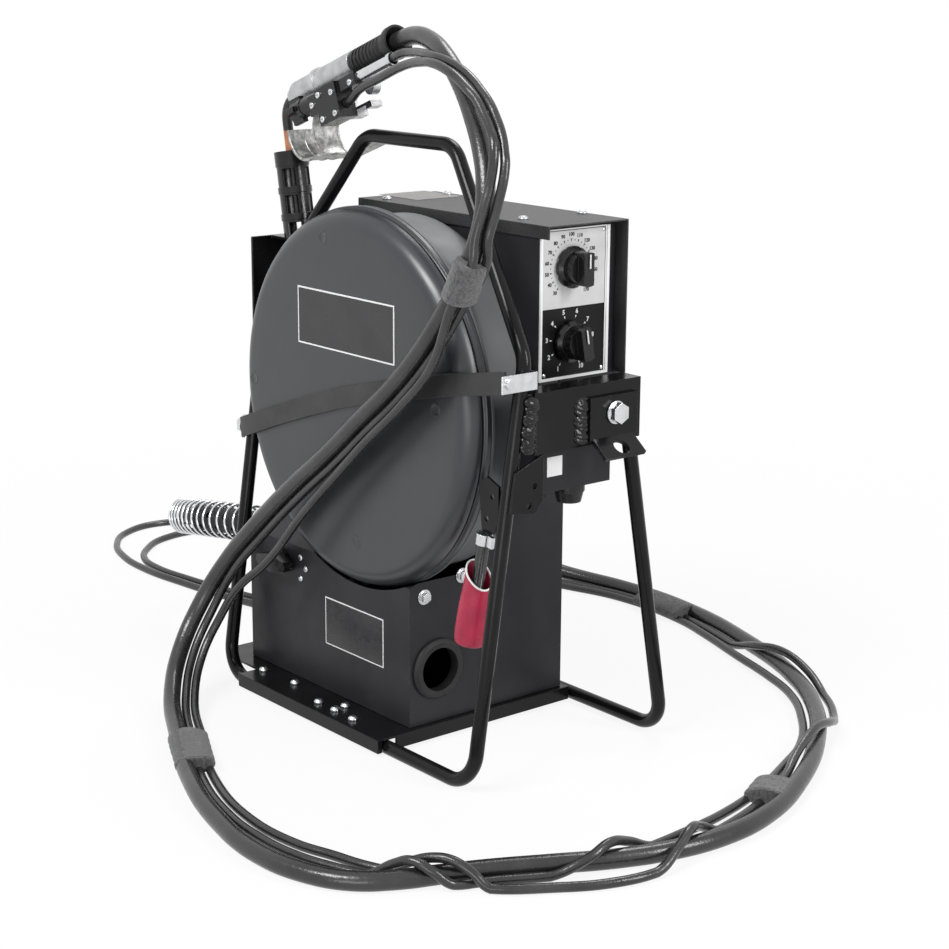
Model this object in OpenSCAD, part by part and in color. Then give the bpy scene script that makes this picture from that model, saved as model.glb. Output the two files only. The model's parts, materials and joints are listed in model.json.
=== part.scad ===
// Portable welding wire feeder: a tube frame that carries a covered wire drum, a drive cabinet,
// a control box and the welding gun parked in its holster. Millimetres, +Z up, +X towards the dials.
// The origin lies on the floor under the middle of the frame.

/* [Frame] */
// Outside diameter of the frame tubes
tube_d = 12.7; // [10:0.1:16]
// Bend radius of the frame tubes at their centreline
tube_bend = 30; // [24:1:36]
// Distance of the right-hand legs from the middle
right_leg_x = 190; // [186:1:200]
// Distance of the front left-hand leg from the middle
left_leg_x = 187; // [187:1:192]
// Distance of the rear left-hand leg from the middle
rear_left_x = 200; // [199:1:206]
// Depth from the middle to the front tube on the floor
front_tube_y = 108; // [104:1:112]
// Depth from the middle to the rear tube on the floor
rear_tube_y = 114; // [114:1:118]
// Lean of the front tube loop
front_lean = 8.28; // [7:0.01:9]
// Lean of the rear tube loop
rear_lean = 10.27; // [9:0.01:11]
// Length of the front legs below the shoulders
shoulder_s = 365; // [355:1:375]
// Length from the floor tube to the carrying bar
bar_s = 530; // [520:1:545]
// Half length of the carrying bar before its bends
bar_half = 63; // [55:1:75]

/* [Base] */
// Thickness of the folded base plate
base_t = 2; // [1.5:0.1:3]
// Height of the base plate's top face
base_top = 15.6; // [15:0.1:18]
// Depth of the base plate's folded rim
base_rim = 12.7; // [8:0.1:12.9]
// Left end of the base plate
base_left = 222; // [212:1:230]
// Right end of the base plate
base_right = 73; // [70:1:80]
// Front edge of the base plate
base_front = 120; // [119:1:124]

/* [Cabinet] */
// Sheet thickness of the cabinet
cab_t = 1.6; // [1.2:0.1:2]
// Left face of the cabinet
cab_left = 187; // [185:1:187]
// Right face of the cabinet
cab_right = 67; // [62:1:69]
// Front face of the cabinet
cab_front = 79.8; // [78:0.1:80]
// Rear face of the cabinet
cab_rear = 100; // [96:1:104]
// Height of the cabinet's front top edge
cab_front_top = 146; // [144:1:150]
// Height of the tower behind the drum
tower_top = 334; // [330:1:338]
// Outside diameter of the rubber grommet in the cable port
grommet_d = 56; // [50:1:60]
// Inside diameter of the rubber grommet
grommet_bore = 40; // [34:1:44]

/* [Drum] */
// Height of the drum's axis
drum_z = 303.4; // [300:0.1:306]
// Distance of the drum's axis to the left of the middle
drum_x = 10; // [8:1:12]
// Outside radius of the lid
lid_r = 169; // [165:1:170]
// Outside radius of the rear shell
shell_r = 161; // [158:1:163]
// Wall of the moulded drum
drum_t = 2.4; // [2:0.1:3]
// Rounding of the lid's front edge
lid_round = 15; // [10:1:20]
// Depth of the lid along the drum's axis
lid_depth = 25; // [22:1:28]
// Front face of the lid
lid_face = 89.8; // [89:0.1:92]
// Diameter of the reel spindle
spindle_d = 25; // [20:1:30]
// Outside diameter of the wire coil
coil_od = 250; // [240:1:290]
// Depth of the wound wire, from the bore of the coil to its outside
coil_build = 30; // [20:1:36]
// Width of the wire coil
coil_w = 42; // [36:1:46]

/* [Wire drive] */
// Diameter of the welding wire
wire_d = 2; // [1.2:0.1:2.4]
// Diameter of the drive roll
drive_d = 34; // [30:1:36]
// Diameter of the idle roll
idle_d = 19; // [16:1:19]
// Height of the wire line
wire_z = 138; // [136:1:139]
// Distance of the rolls to the left of the middle
rolls_x = 128; // [124:1:132]
// Depth of the wire line in front of the middle
wire_y = 34; // [32:1:36]

/* [Control box] */
// Left end of the control box
ctrl_left = 107; // [100:1:112]
// Face of the dial panel
panel_x = 147; // [144:1:150]
// Overhang of the hood past the dial panel
hood_over = 14; // [10:1:18]
// Height of the control box's top
ctrl_top = 468.9; // [464:0.1:470]
// Depth of the control box behind the middle
ctrl_rear = 86; // [80:1:90]
// Sheet thickness of the control box
ctrl_t = 1.6; // [1.2:0.1:2]
// Diameter of the knobs' skirts
knob_d = 36; // [32:1:40]
// Height of the speed knob's axis
speed_z = 431; // [428:1:434]
// Height of the voltage knob's axis
volts_z = 367; // [364:1:372]
// Depth of both knobs' axes behind the middle
knob_y = 31; // [29:1:34]

/* [Gun] */
// Diameter of the gun's cast handle
grip_d = 25; // [22:1:28]
// Length of the cast handle
grip_l = 96; // [90:1:100]
// Length of the rubber boot behind the handle
gun_boot_l = 62; // [56:1:66]
// Tilt of the gun above the horizontal
gun_tilt = 19.5; // [18:0.1:21]
// Outside diameter of the holster tube
holster_d = 32; // [30:1:34]
// Diameter of the copper conductor tube
conductor_d = 9.5; // [8:0.1:11]

/* [Cords] */
// Diameter of the gun cable
gun_cable_d = 16; // [14:0.5:18]
// Diameter of the two control leads
lead_d = 8; // [6:0.5:9]
// Wire diameter of the spring guard
guard_wire_d = 3; // [2:0.1:3.5]
// Mean diameter of the spring guard
guard_d = 36; // [34:1:40]
// Turns of the spring guard
guard_turns = 16; // [10:1:20]

/* [Hidden] */
$fn = 64;
slack = 0.3;            // gap left between separate pieces that seat on each other
run_gap = 0.05;         // radial clearance of a running fit
tube_r = tube_d / 2;
base_under = base_top - base_t;
bead_r = 2.6;

// Side profile of the cabinet: [y, z] from the floor plate up over the saddle to the tower.
saddle_low = [-28, cab_front_top + 22];
saddle_high = [-4, cab_front_top + 56];
tower_front = -4;

// Drum depths along Y, front faces negative.
lid_back = -lid_face + lid_depth;
shell_back = tower_front - 6 * slack;
drum_recess_r = lid_r + 3;
reel_front = -lid_face + drum_t + 6;
reel_back = reel_front + coil_w + 8;
coil_id = coil_od - 2 * coil_build;
hub_r = coil_id / 2 - 1;

// Channel and brackets at the dial end.
web_x = right_leg_x + tube_r + slack;
web_t = 3;
channel_low = 288;
channel_high = 340;
lug_x = web_x + web_t + slack;
lug_t = 4;
lip_tilt = 38;
lip_len = 24;
lug_hole_r = 7.5;
box_low = 248;
box_x = [153.5, 182];
box_y = [-33, 50];

// Front legs: depth of the leaning loop at a height.
function front_y(z) = -front_tube_y + (z - tube_r) * tan(front_lean);
function rear_y(z) = rear_tube_y - (z - tube_r) * tan(rear_lean);

// Wire drive.
drive_z = wire_z - wire_d / 2 - drive_d / 2;
idle_z = wire_z + wire_d / 2 + idle_d / 2;
roll_w = 12;
arm_t = 6;
arm_pivot = [-rolls_x - 28, idle_z + 1.5];
arm_y = -wire_y + roll_w / 2 + slack;
gear_y = arm_y + arm_t + slack;

// Gun frame: origin at the front of the cast handle, local X along the handle.
gun_origin = [-156, -34, 561.6];
holster_tilt = 10;
holster_top = [-174, -34, 508];
holster_floor = 428.3;
mouth_depth = 24;

// Control leads and the gun cable: routes of their centrelines.
gun_cable_route = [
    [-29, -34, 606.4], [-7, -34, 614.2], [18, -37, 620], [50, -45, 618], [86, -56, 606], [120, -66, 584],
    [149, -77, 560], [170, -86, 538], [185, -94, 512], [190, -101, 484], [184, -107, 455], [166, -110, 423],
    [130, -112, 377], [92, -113, 339], [41, -113, 299], [-4, -113, 263], [-57, -114, 223],
    [-118, -118, 171], [-158, -127, 127], [-176, -145, 85], [-169, -172, 48], [-134, -204, 21],
    [-64, -241, 9], [26, -284, 8], [118, -313, 8], [190, -322, 8], [240, -313, 8], [273, -294, 8],
    [293, -266, 8], [307, -233, 8], [322, -200, 8], [346, -155, 8], [369, -111, 8], [385, -66, 8],
    [392, -14, 8], [384, 46, 8], [352, 120, 8], [303, 196, 8], [240, 264, 8], [165, 314, 8], [75, 350, 8],
    [-30, 377, 8], [-130, 380, 8], [-212, 358, 12], [-252, 338, 20], [-292, 312, 25], [-356, 254, 30],
    [-404, 186, 36], [-430, 116, 52], [-434, 52, 75], [-418, 0, 97], [-392, -28, 107], [-356, -34, 112.6],
    [-290, -34, 122.6], [-240, -34, 130], [-196, -34, 136.7]
];
trigger_lead_route = [
    [1, -51, 598], [8, -51, 601], [20, -53, 605], [36, -55, 607], [88, -69, 606], [107, -71, 603],
    [126, -73, 598], [143, -75, 591], [158, -77, 582], [172, -79, 572], [182, -81, 562], [192, -84, 551],
    [199, -87, 539], [205, -91, 526], [205, -100, 492], [202, -105, 471], [194, -100, 450],
    [176, -107, 416], [140, -111, 369], [100, -113, 329], [49, -113, 289], [4, -113, 253], [-49, -114, 213],
    [-109, -117, 162], [-147, -126, 120], [-165, -139, 80], [-160, -163, 46], [-128, -193, 18],
    [-59, -230, 5], [30, -273, 4], [96, -293, 4], [152, -300, 4], [204, -296, 4], [240, -285, 4],
    [265, -274, 4], [283, -261, 16], [298, -255, 22], [313, -247, 16], [322, -234, 5], [330, -213, 4],
    [355, -166, 4], [368, -138, 16], [367, -115, 22], [364, -94, 16], [364, -66, 4], [361, -23, 4],
    [355, 23, 4], [339, 83, 4], [316, 139, 4], [292, 187, 4], [244, 242, 4], [196, 279, 4], [148, 300, 4],
    [86, 320, 4], [27, 340, 4], [-33, 356, 4], [-128, 359, 4], [-205, 338, 4], [-300, 314, 4],
    [-400, 283, 4], [-500, 245, 4], [-590, 196, 4], [-640, 146, 4], [-640, 92, 4], [-612, 50, 4],
    [-577, 26, 4], [-534, 19, 4], [-480, 24, 4], [-420, 34, 4], [-350, 48, 5], [-280, 58, 12],
    [-232, 60, 26], [-194, 60, 34]
];
switch_lead_route = [
    [-64, -52, 558], [-54, -52, 562], [-38, -54, 572], [-6, -57, 583], [42, -64, 597], [73, -71, 601],
    [99, -78, 601], [120, -82, 597], [137, -84, 591], [151, -86, 584], [163, -86, 576], [175, -88, 565],
    [186, -91, 555], [197, -96, 543], [200, -102, 512], [200, -109, 493], [197, -114, 471],
    [195, -115, 452], [175, -119, 417], [146, -117, 363], [106, -118, 323], [55, -118, 282],
    [11, -118, 244], [-38, -119, 200], [-91, -124, 143], [-129, -133, 109], [-153, -137, 77],
    [-154, -157, 44], [-124, -186, 16], [-55, -221, 4], [34, -264, 4], [124, -286, 4], [185, -284, 4],
    [223, -273, 4], [248, -266, 4], [269, -257, 4], [288, -247, 16], [304, -238, 22], [316, -231, 22],
    [329, -224, 16], [343, -215, 4], [371, -177, 4], [392, -139, 4], [401, -97, 4], [396, -69, 16],
    [389, -49, 23], [380, -29, 16], [376, -3, 4], [362, 54, 4], [339, 113, 5], [318, 156, 16],
    [304, 194, 23], [291, 228, 16], [268, 260, 4], [221, 300, 4], [183, 317, 16], [144, 324, 23],
    [104, 328, 17], [61, 341, 4], [-32, 365, 4], [-129, 368, 4], [-208, 346, 4], [-300, 326, 4],
    [-400, 299, 4], [-500, 263, 4], [-600, 216, 4], [-672, 170, 4], [-702, 116, 4], [-690, 68, 4],
    [-652, 32, 4], [-600, 12, 4], [-540, 6, 4], [-470, 12, 4], [-400, 22, 4], [-340, 33, 5], [-280, 42, 12],
    [-230, 44, 26], [-194, 44, 34]
];

// ---------- helpers ----------

function unit(v) = v / norm(v);
function square_to(u, t) = unit(u - (u * t) * t);
function tangents(p) = [
    for (i = [0 : len(p) - 1]) unit(p[min(i + 1, len(p) - 1)] - p[max(i - 1, 0)])
];
function carried(t, u0) = [
    for (i = 0, u = square_to(u0, t[0]); i < len(t);
         i = i + 1, u = i < len(t) ? square_to(u, t[i]) : u) u
];
function ring(r, sides) = [for (j = [0 : sides - 1]) r * [cos(360 * j / sides), sin(360 * j / sides)]];

// Sweeps a closed outline along a route, carried along without twist or held upright.
module sweep(route, outline, u0, upright = false) {
    m = len(outline);
    n = len(route);
    t = tangents(route);
    u = upright ? [for (d = t) square_to(u0, d)] : carried(t, u0);
    points = [
        for (i = [0 : n - 1]) for (s = outline) route[i] + s.x * u[i] + s.y * cross(t[i], u[i])
    ];
    sides = [
        for (i = [0 : n - 2]) for (j = [0 : m - 1]) for (k = [0, 1])
            k == 0 ? [i * m + j, (i + 1) * m + (j + 1) % m, i * m + (j + 1) % m]
                   : [i * m + j, (i + 1) * m + j, (i + 1) * m + (j + 1) % m]
    ];
    caps = [
        for (j = [1 : m - 2]) for (k = [0, 1])
            k == 0 ? [0, j, j + 1] : [(n - 1) * m, (n - 1) * m + j + 1, (n - 1) * m + j]
    ];
    polyhedron(points, concat(sides, caps), convexity = 8);
}

// Corners of a flat path and what the bends between them need.
function corner(c, i) = c[(i + len(c)) % len(c)];
function along(c, i) = unit(corner(c, i + 1) - corner(c, i));
function heading(c, i) = atan2(along(c, i).y, along(c, i).x);
function turn(c, i) = (heading(c, i) - heading(c, i - 1) + 540) % 360 - 180;
function trim(c, i, bend) = bend * tan(abs(turn(c, i)) / 2);

// Points along the arc that rounds one corner, a ring about every 15 degrees.
function arc_points(c, i, bend) =
    let (side = sign(turn(c, i)), start = corner(c, i) - along(c, i - 1) * trim(c, i, bend),
         centre = start + side * bend * [-along(c, i - 1).y, along(c, i - 1).x],
         steps = ceil(abs(turn(c, i)) / 15))
    [for (k = [0 : steps]) let (a = heading(c, i - 1) - side * 90 + turn(c, i) * k / steps)
        [centre.x + bend * cos(a), centre.y + bend * sin(a), 0]];

// Closed loop of round tube in the XY plane, swept with the bends as arcs.
module tube_loop(c, bend, r, sides) {
    route = [for (i = [0 : len(c) - 1]) each arc_points(c, i, bend)];
    n = len(route);
    points = [
        for (i = [0 : n - 1])
            let (t = unit(route[(i + 1) % n] - route[(i + n - 1) % n]), u = [0, 0, 1])
            for (s = ring(r, sides)) route[i] + s.x * u + s.y * cross(t, u)
    ];
    faces = [
        for (i = [0 : n - 1]) for (j = [0 : sides - 1]) for (k = [0, 1])
            k == 0 ? [i * sides + j, ((i + 1) % n) * sides + (j + 1) % sides, i * sides + (j + 1) % sides]
                   : [i * sides + j, ((i + 1) % n) * sides + j, ((i + 1) % n) * sides + (j + 1) % sides]
    ];
    polyhedron(points, faces, convexity = 8);
}

// Round tube through a flat path of corners that turns left by quarter turns only.
module bent_tube(c, bend, r) {
    last = len(c) - 2;
    for (i = [0 : last]) {
        from = i == 0 ? 0 : bend;
        to = i == last ? 0 : bend;
        translate(c[i] + along(c, i) * from) rotate([0, 0, heading(c, i)]) rotate([0, 90, 0])
            cylinder(h = norm(c[i + 1] - c[i]) - from - to, r = r);
    }
    for (i = [1 : last])
        translate(c[i] - along(c, i - 1) * bend + bend * [-along(c, i - 1).y, along(c, i - 1).x])
            rotate([0, 0, heading(c, i - 1) - 90]) rotate_extrude(angle = 90) translate([bend, 0]) circle(r);
}

module box(low, high) {
    translate(low) cube(high - low);
}

// Cylinder along +X or +Y that starts at a point.
module rod_x(p, r, h) {
    translate(p) rotate([0, 90, 0]) cylinder(h = h, r = r);
}
module rod_y(p, r, h) {
    translate(p) rotate([-90, 0, 0]) cylinder(h = h, r = r);
}

module pan_head(r, h) {
    cylinder(h = h * 0.45, r = r);
    translate([0, 0, h * 0.45]) cylinder(h = h * 0.55, r1 = r, r2 = r * 0.6, $fn = 48);
}

// Loops that lean out of the upright plane: local X stays, local Y climbs.
module front_plane() {
    translate([0, -front_tube_y, tube_r]) rotate([90 - front_lean, 0, 0]) children();
}
module rear_plane() {
    translate([0, rear_tube_y, tube_r]) rotate([90 + rear_lean, 0, 0]) children();
}
module gun_place() {
    translate(gun_origin) rotate([0, -gun_tilt, 0]) children();
}
module drum_place() {
    translate([-drum_x, 0, drum_z]) rotate([90, 0, 0]) children();
}

// ---------- frame and base ----------

module front_frame_tube() {
    color("black") front_plane()
        tube_loop([[right_leg_x, 0], [-left_leg_x, 0], [-left_leg_x, shoulder_s],
                   [5 - bar_half, bar_s], [5 + bar_half, bar_s], [right_leg_x, shoulder_s]],
                  tube_bend, tube_r * 1.012, 20);
}

module rear_frame_tube() {
    right_len = (channel_high - web_t - 1 - tube_r) / cos(rear_lean) - 2;
    left_len = (tower_top - 14) / cos(rear_lean);
    color("black") rear_plane()
        bent_tube([[-rear_left_x, left_len], [-rear_left_x, 0], [right_leg_x, 0],
                   [right_leg_x, right_len]], tube_bend, tube_r);
}

module base_outline(inset) {
    chamfer = [71, 42];
    polygon([
        [-base_left + inset, base_edge_rear() - inset],
        [-base_left + inset, -base_front + chamfer.y + inset * 0.4],
        [-base_left + chamfer.x + inset * 0.4, -base_front + inset],
        [base_right - inset, -base_front + inset],
        [base_right - inset, base_edge_rear() - inset]
    ]);
}
function base_edge_rear() = rear_tube_y - tube_r - 2.2;

module base_plate() {
    color("black") difference() {
        translate([0, 0, base_top - base_rim]) linear_extrude(base_rim) base_outline(0);
        translate([0, 0, base_top - base_rim - 1]) linear_extrude(base_rim - base_t + 1)
            base_outline(base_t);
        // the front tube leaves the tray at the right, and its left leg rises past the corner
        box([base_right - 6, -front_tube_y - tube_r - 1, 0],
            [base_right + 1, -front_tube_y + tube_r + 2, base_under]);
        box([-left_leg_x - tube_r - 2, -front_tube_y - tube_r - 2, 0],
            [-left_leg_x + tube_bend + 6, -front_tube_y + tube_r + 3.4, base_top + 1]);
    }
}

base_screw_spots = [[-142, -97], [-93, -94], [-37, -106], [-11, -106], [-13, -93], [18, -107]];

module base_screws() {
    color("silver") for (p = base_screw_spots) translate([p.x, p.y, base_top]) {
        pan_head(4.6, 4.2);
    }
}

module weld_bead(p, h) {
    for (i = [0 : floor(h / 4.4)]) translate(p + [0, 0, i * 4.4]) sphere(bead_r, $fn = 20);
}

module cross_channel() {
    web_left = front_y(channel_high) + tube_r + 1;
    web_right = 67;
    lip = 20;
    color("black") {
        difference() {
            union() {
                box([web_x, web_left, channel_low], [web_x + web_t, web_right, channel_high]);
                box([web_x - lip, web_left + 4, channel_high - web_t], [web_x, web_right, channel_high]);
                box([web_x - lip, web_left + 4, channel_low],
                    [web_x, rear_y(channel_low) - tube_r - 2, channel_low + web_t]);
            }
            rod_x([web_x - 1, lug_bolt_y, lug_bolt_z], 5.3, web_t + 2);
        }
        weld_bead([web_x + web_t - 1, web_left + 0.6, channel_low + 4], channel_high - channel_low - 10);
        weld_bead([web_x + web_t - 0.6, 0.6, channel_low + 6], 34);
    }
}

lug_bolt_y = 34;
lug_bolt_z = 314;
lug_y = [6, 60];
lip_root_z = 292;

module lug_bracket() {
    color("black") difference() {
        union() {
            box([lug_x, lug_y[0], lip_root_z], [lug_x + lug_t, lug_y[1], 329]);
            translate([lug_x, lug_y[0] + 3, lip_root_z]) rotate([0, lip_tilt, 0])
                box([0, 0, -0.001], [lip_len, lug_y[1] - lug_y[0] - 8, lug_t]);
        }
        rod_x([lug_x - 1, lug_bolt_y, lug_bolt_z], 5.3, lug_t + 2);
        translate([lug_x, lug_y[0] + 27, lip_root_z]) rotate([0, lip_tilt, 0])
            translate([lip_len * 0.6, 0, -1]) cylinder(h = lug_t + 2, r = lug_hole_r);
    }
}

module lug_bolt() {
    head = 6.4;
    color("silver") {
        rod_x([lug_x + lug_t + slack, lug_bolt_y, lug_bolt_z], 10, 1.6);
        translate([lug_x + lug_t + slack + 1.6, lug_bolt_y, lug_bolt_z]) rotate([0, 90, 0])
            cylinder(h = head, r = 9.2, $fn = 6);
        rod_x([web_x - 14, lug_bolt_y, lug_bolt_z], 5, lug_x + lug_t + slack - web_x + 14);
    }
}

module breaker_box() {
    color([0.09, 0.09, 0.1]) difference() {
        box([box_x[0], box_y[0], box_low], [box_x[1], box_y[1], channel_low - slack]);
        box([box_x[0] + cab_t, box_y[0] + cab_t, box_low + cab_t],
            [box_x[1] - cab_t, box_y[1] - cab_t, channel_low - slack - cab_t]);
        translate([button_at.x, button_at.y, box_low - 1]) cylinder(h = cab_t + 2, r = button_r + 0.1);
        translate([gland_at.x, gland_at.y, box_low - 1]) cylinder(h = cab_t + 2, r = 8.3);
    }
}

button_at = [167, -12];
button_r = 4.5;
gland_at = [167.6, 16];

module breaker_button() {
    color([0.15, 0.15, 0.15]) translate([button_at.x, button_at.y, box_low]) {
        translate([0, 0, -8]) cylinder(h = 8 + cab_t + 8, r = button_r);
        translate([0, 0, cab_t + slack]) cylinder(h = 3, r = button_r + 2.5);
    }
}

module cable_gland() {
    color([0.08, 0.08, 0.08]) translate([gland_at.x, gland_at.y, box_low]) {
        translate([0, 0, -6 - slack]) cylinder(h = 6, r = 13.6, $fn = 24);
        translate([0, 0, -16]) cylinder(h = 10, r1 = 10.5, r2 = 13, $fn = 32);
        translate([0, 0, -1]) cylinder(h = cab_t + 7, r = 8);
    }
}

module gusset_plate() {
    gy = [-64, -42];
    gz = [238, 276];
    color("black") translate([web_x, 0, 0]) rotate([90, 0, 90]) linear_extrude(web_t) difference() {
        polygon([[front_y(gz[1]) - 3, gz[1]], [gy[1], channel_low - slack], [gy[1], gz[0] + 10],
                 [gy[1] - 8, gz[0]], [front_y(gz[0]) - 3, gz[0] + 4]]);
        translate([-51, 262]) circle(2.6);
        translate([-57, 246]) circle(2.6);
    }
}

// ---------- work lead hung beside the leg ----------

hang_x = [158, right_leg_x - tube_r - slack];
hang_y = -76.5;
lead_top = [166, hang_y, 219.2];
lead_tilt = 10.3;
stub_r = 5.5;

module lead_hanger() {
    color("black") translate([0, hang_y + 2.5, 0]) rotate([90, 0, 0]) linear_extrude(2.5)
        difference() {
            polygon([[hang_x[0] + 4, 220], [hang_x[1] - 6, 220], [hang_x[1], 232], [hang_x[1], 262],
                     [hang_x[0] + 10, 268], [hang_x[0], 262]]);
            translate([175, 252]) circle(2.6);
            translate([168, 232]) circle(2.6);
        }
}

module band_clamp() {
    color("silver") translate(lead_top) rotate([0, lead_tilt, 0]) translate([0, 0, -10]) difference() {
        union() {
            cylinder(h = 10, r = stub_r + 1.6);
            translate([0, -2, 0]) cube([stub_r + 7, 4, 10]);
        }
        translate([0, 0, -1]) cylinder(h = 12, r = stub_r + 0.1);
    }
}

boot_from = 30;
boot_to = 102;

module lead_stub() {
    color([0.1, 0.1, 0.1]) translate(lead_top) rotate([0, lead_tilt, 0]) {
        translate([0, 0, -boot_to + 8]) cylinder(h = boot_to - 9, r = stub_r);
        translate([0, 0, -boot_to + 6]) cylinder(h = 26, r = stub_r + 2.6);
    }
}

module red_boot() {
    h = boot_to - boot_from;
    color([0.72, 0.13, 0.24]) translate(lead_top) rotate([0, lead_tilt, 0])
        translate([0, 0, -boot_to]) rotate_extrude() difference() {
            polygon([[0, 0], [13.6, 0], [14.6, 4], [14.4, 20], [12.6, 42], [9.4, 58], [8.6, h - 6],
                     [9.6, h - 4], [9.6, h], [0, h]]);
            polygon([[-1, -1], [11.4, -1], [11.4, 4], [stub_r + 2.8, 5.8], [stub_r + 2.8, 32.2],
                     [stub_r + 0.2, 32.2], [stub_r + 0.2, h + 1], [-1, h + 1]]);
        }
}

// ---------- drive cabinet ----------

module cabinet_profile(t) {
    polygon([
        [-cab_front + t, base_top + slack - (t > 0 ? 1 : 0)],
        [-cab_front + t, cab_front_top - t],
        [saddle_low.x - 0.2 * t, saddle_low.y - t],
        [saddle_high.x + t, saddle_high.y - 0.6 * t],
        [tower_front + t, tower_top - t],
        [cab_rear - t, tower_top - t],
        [cab_rear - t, base_top + slack - (t > 0 ? 1 : 0)]
    ]);
}

port_y = -48.5;
port_z = 66;
outlet_hole_r = 9.5;
lead_hole_r = 6.6;
motor_lead_y = [60, 44];
lead_z = 34;

module cabinet_shell() {
    color([0.2, 0.2, 0.21]) difference() {
        translate([-cab_left, 0, 0]) rotate([90, 0, 90])
            linear_extrude(cab_left + cab_right) cabinet_profile(0);
        translate([-cab_left + cab_t, 0, 0]) rotate([90, 0, 90])
            linear_extrude(cab_left + cab_right - 2 * cab_t) cabinet_profile(cab_t);
        // saddle in which the drum sits
        rod_y([-drum_x, -lid_face - 4, drum_z], drum_recess_r, lid_face + 4 + tower_front);
        // spindle, cable port, wire outlet and control lead holes
        rod_y([-drum_x, tower_front - 1, drum_z], spindle_d / 2 + 0.1, cab_t + 2);
        rod_x([cab_right - 5, port_y, port_z], grommet_d / 2 - 3.8, 8);
        rod_x([-cab_left - 1, -wire_y, wire_z], outlet_hole_r + 0.1, cab_t + 2);
        for (y = motor_lead_y) rod_x([-cab_left - 1, y, lead_z], lead_hole_r, cab_t + 2);
        // latch shaft hole
        rod_y([latch_at.x, -cab_front - 1, latch_at.y], 4 + run_gap, cab_t + 2);
    }
}

latch_at = [-130, 127];

module cabinet_fasteners() {
    color("silver") {
        for (p = [[-101, 136], [-101, 115.5], [-92.5, 126.5]])
            translate([p.x, -cab_front, p.y]) rotate([90, 0, 0]) pan_head(3, 1.8);
        for (p = [[-64, 136], [-21, 148]])
            translate([cab_right, p.x, p.y]) rotate([0, 90, 0]) {
                cylinder(h = 1.4, r = 7);
                translate([0, 0, 1.4]) cylinder(h = 4, r = 5, $fn = 6);
            }
        // bolts that tie the rear left leg to the tower
        for (z = [130, 290]) {
            gap = rear_left_x - tube_r - cab_left;
            rod_x([-cab_left - gap + 0.15, rear_y(z), z], 4.5, gap - 0.3);
        }
    }
}

module turn_latch() {
    color([0.05, 0.05, 0.05]) translate([latch_at.x, -cab_front, latch_at.y]) rotate([90, 0, 0]) {
        translate([0, 0, -cab_t - 6]) cylinder(h = cab_t + 7, r = 4);
        translate([0, 0, slack]) cylinder(h = 5, r = 12);
        translate([0, 0, 5]) linear_extrude(11) hull() {
            translate([-19, 0]) circle(5, $fn = 32);
            translate([19, 0]) circle(5, $fn = 32);
            circle(9, $fn = 32);
        }
        // cam behind the panel
        translate([-4, -4, -cab_t - 6]) cube([20, 8, 4]);
    }
}

module port_grommet() {
    r_hole = grommet_d / 2 - 4;
    color([0.07, 0.07, 0.07]) translate([cab_right, port_y, port_z]) rotate([0, 90, 0])
        rotate_extrude() polygon([
            [grommet_bore / 2, -6], [grommet_d / 2, -6], [grommet_d / 2, -cab_t - slack],
            [r_hole, -cab_t - slack], [r_hole, slack], [grommet_d / 2, slack],
            [grommet_d / 2, 2.6], [grommet_d / 2 - 3, 5], [grommet_bore / 2, 5]
        ]);
}

gear_x = [-rolls_x - 28, -rolls_x + 26];
gear_depth = [gear_y, 26];
gear_zr = [drive_z - 26, drive_z + 22];
motor_r = 30;

module motor_bracket() {
    color("dimgray") {
        box([gear_x[0], gear_depth[0] + 4, base_top], [gear_x[1], gear_depth[1] + 40, base_top + 4]);
        box([gear_x[0], gear_depth[0] + 4, base_top + 4],
            [gear_x[0] + 4, gear_depth[1] - 2, gear_zr[0] - slack]);
        box([gear_x[1] - 4, gear_depth[0] + 4, base_top + 4],
            [gear_x[1], gear_depth[1] - 2, gear_zr[0] - slack]);
        box([gear_x[0] + 4, gear_depth[0] + 4, gear_zr[0] - 4 - slack],
            [gear_x[1] - 4, gear_depth[1] - 2, gear_zr[0] - slack]);
    }
}

module gearbox() {
    shaft_hole = 5 + run_gap;
    color("gray") difference() {
        union() {
            box([gear_x[0], gear_depth[0], gear_zr[0]], [gear_x[1], gear_depth[1], gear_zr[1]]);
            // boss for the pressure arm's pivot
            rod_y([arm_pivot.x, arm_y - 3, arm_pivot.y], 4, gear_y - arm_y + 9);
            box([arm_pivot.x - 7, gear_depth[0], gear_zr[1] - 1],
                [arm_pivot.x + 9, gear_depth[0] + 8, arm_pivot.y + 5]);
        }
        rod_y([-rolls_x, gear_depth[0] - 1, drive_z], shaft_hole, 21);
    }
}

module drive_motor() {
    color("dimgray") {
        rod_y([-rolls_x, gear_depth[1] + slack, drive_z], motor_r, cab_rear - cab_t - gear_depth[1] - 8);
        rod_y([-rolls_x, cab_rear - cab_t - 8, drive_z], 12, 6);
    }
}

// Toothed edge of a feed roll with a wire groove.
module drive_roll() {
    teeth = 40;
    color("silver") {
        difference() {
            rod_y([-rolls_x, -wire_y - roll_w / 2, drive_z], drive_d / 2 + wire_d * 0.3, roll_w);
            translate([-rolls_x, -wire_y, drive_z]) rotate([-90, 0, 0]) rotate_extrude()
                translate([drive_d / 2 + wire_d / 2, 0]) circle(wire_d / 2 + 0.35, $fn = 24);
            for (i = [0 : teeth - 1]) translate([-rolls_x, -wire_y - roll_w / 2 - 1, drive_z])
                rotate([0, i * 360 / teeth, 0]) translate([drive_d / 2 + wire_d * 0.3, 0, 0])
                    rotate([0, 45, 0]) translate([-0.6, 0, -0.6]) cube([1.2, 4, 1.2]);
        }
        rod_y([-rolls_x, -wire_y + roll_w / 2, drive_z], 5, gear_y + wire_y - roll_w / 2 + 18);
        rod_y([-rolls_x, -wire_y - roll_w / 2 - 5, drive_z], 7, 5);
    }
}

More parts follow.
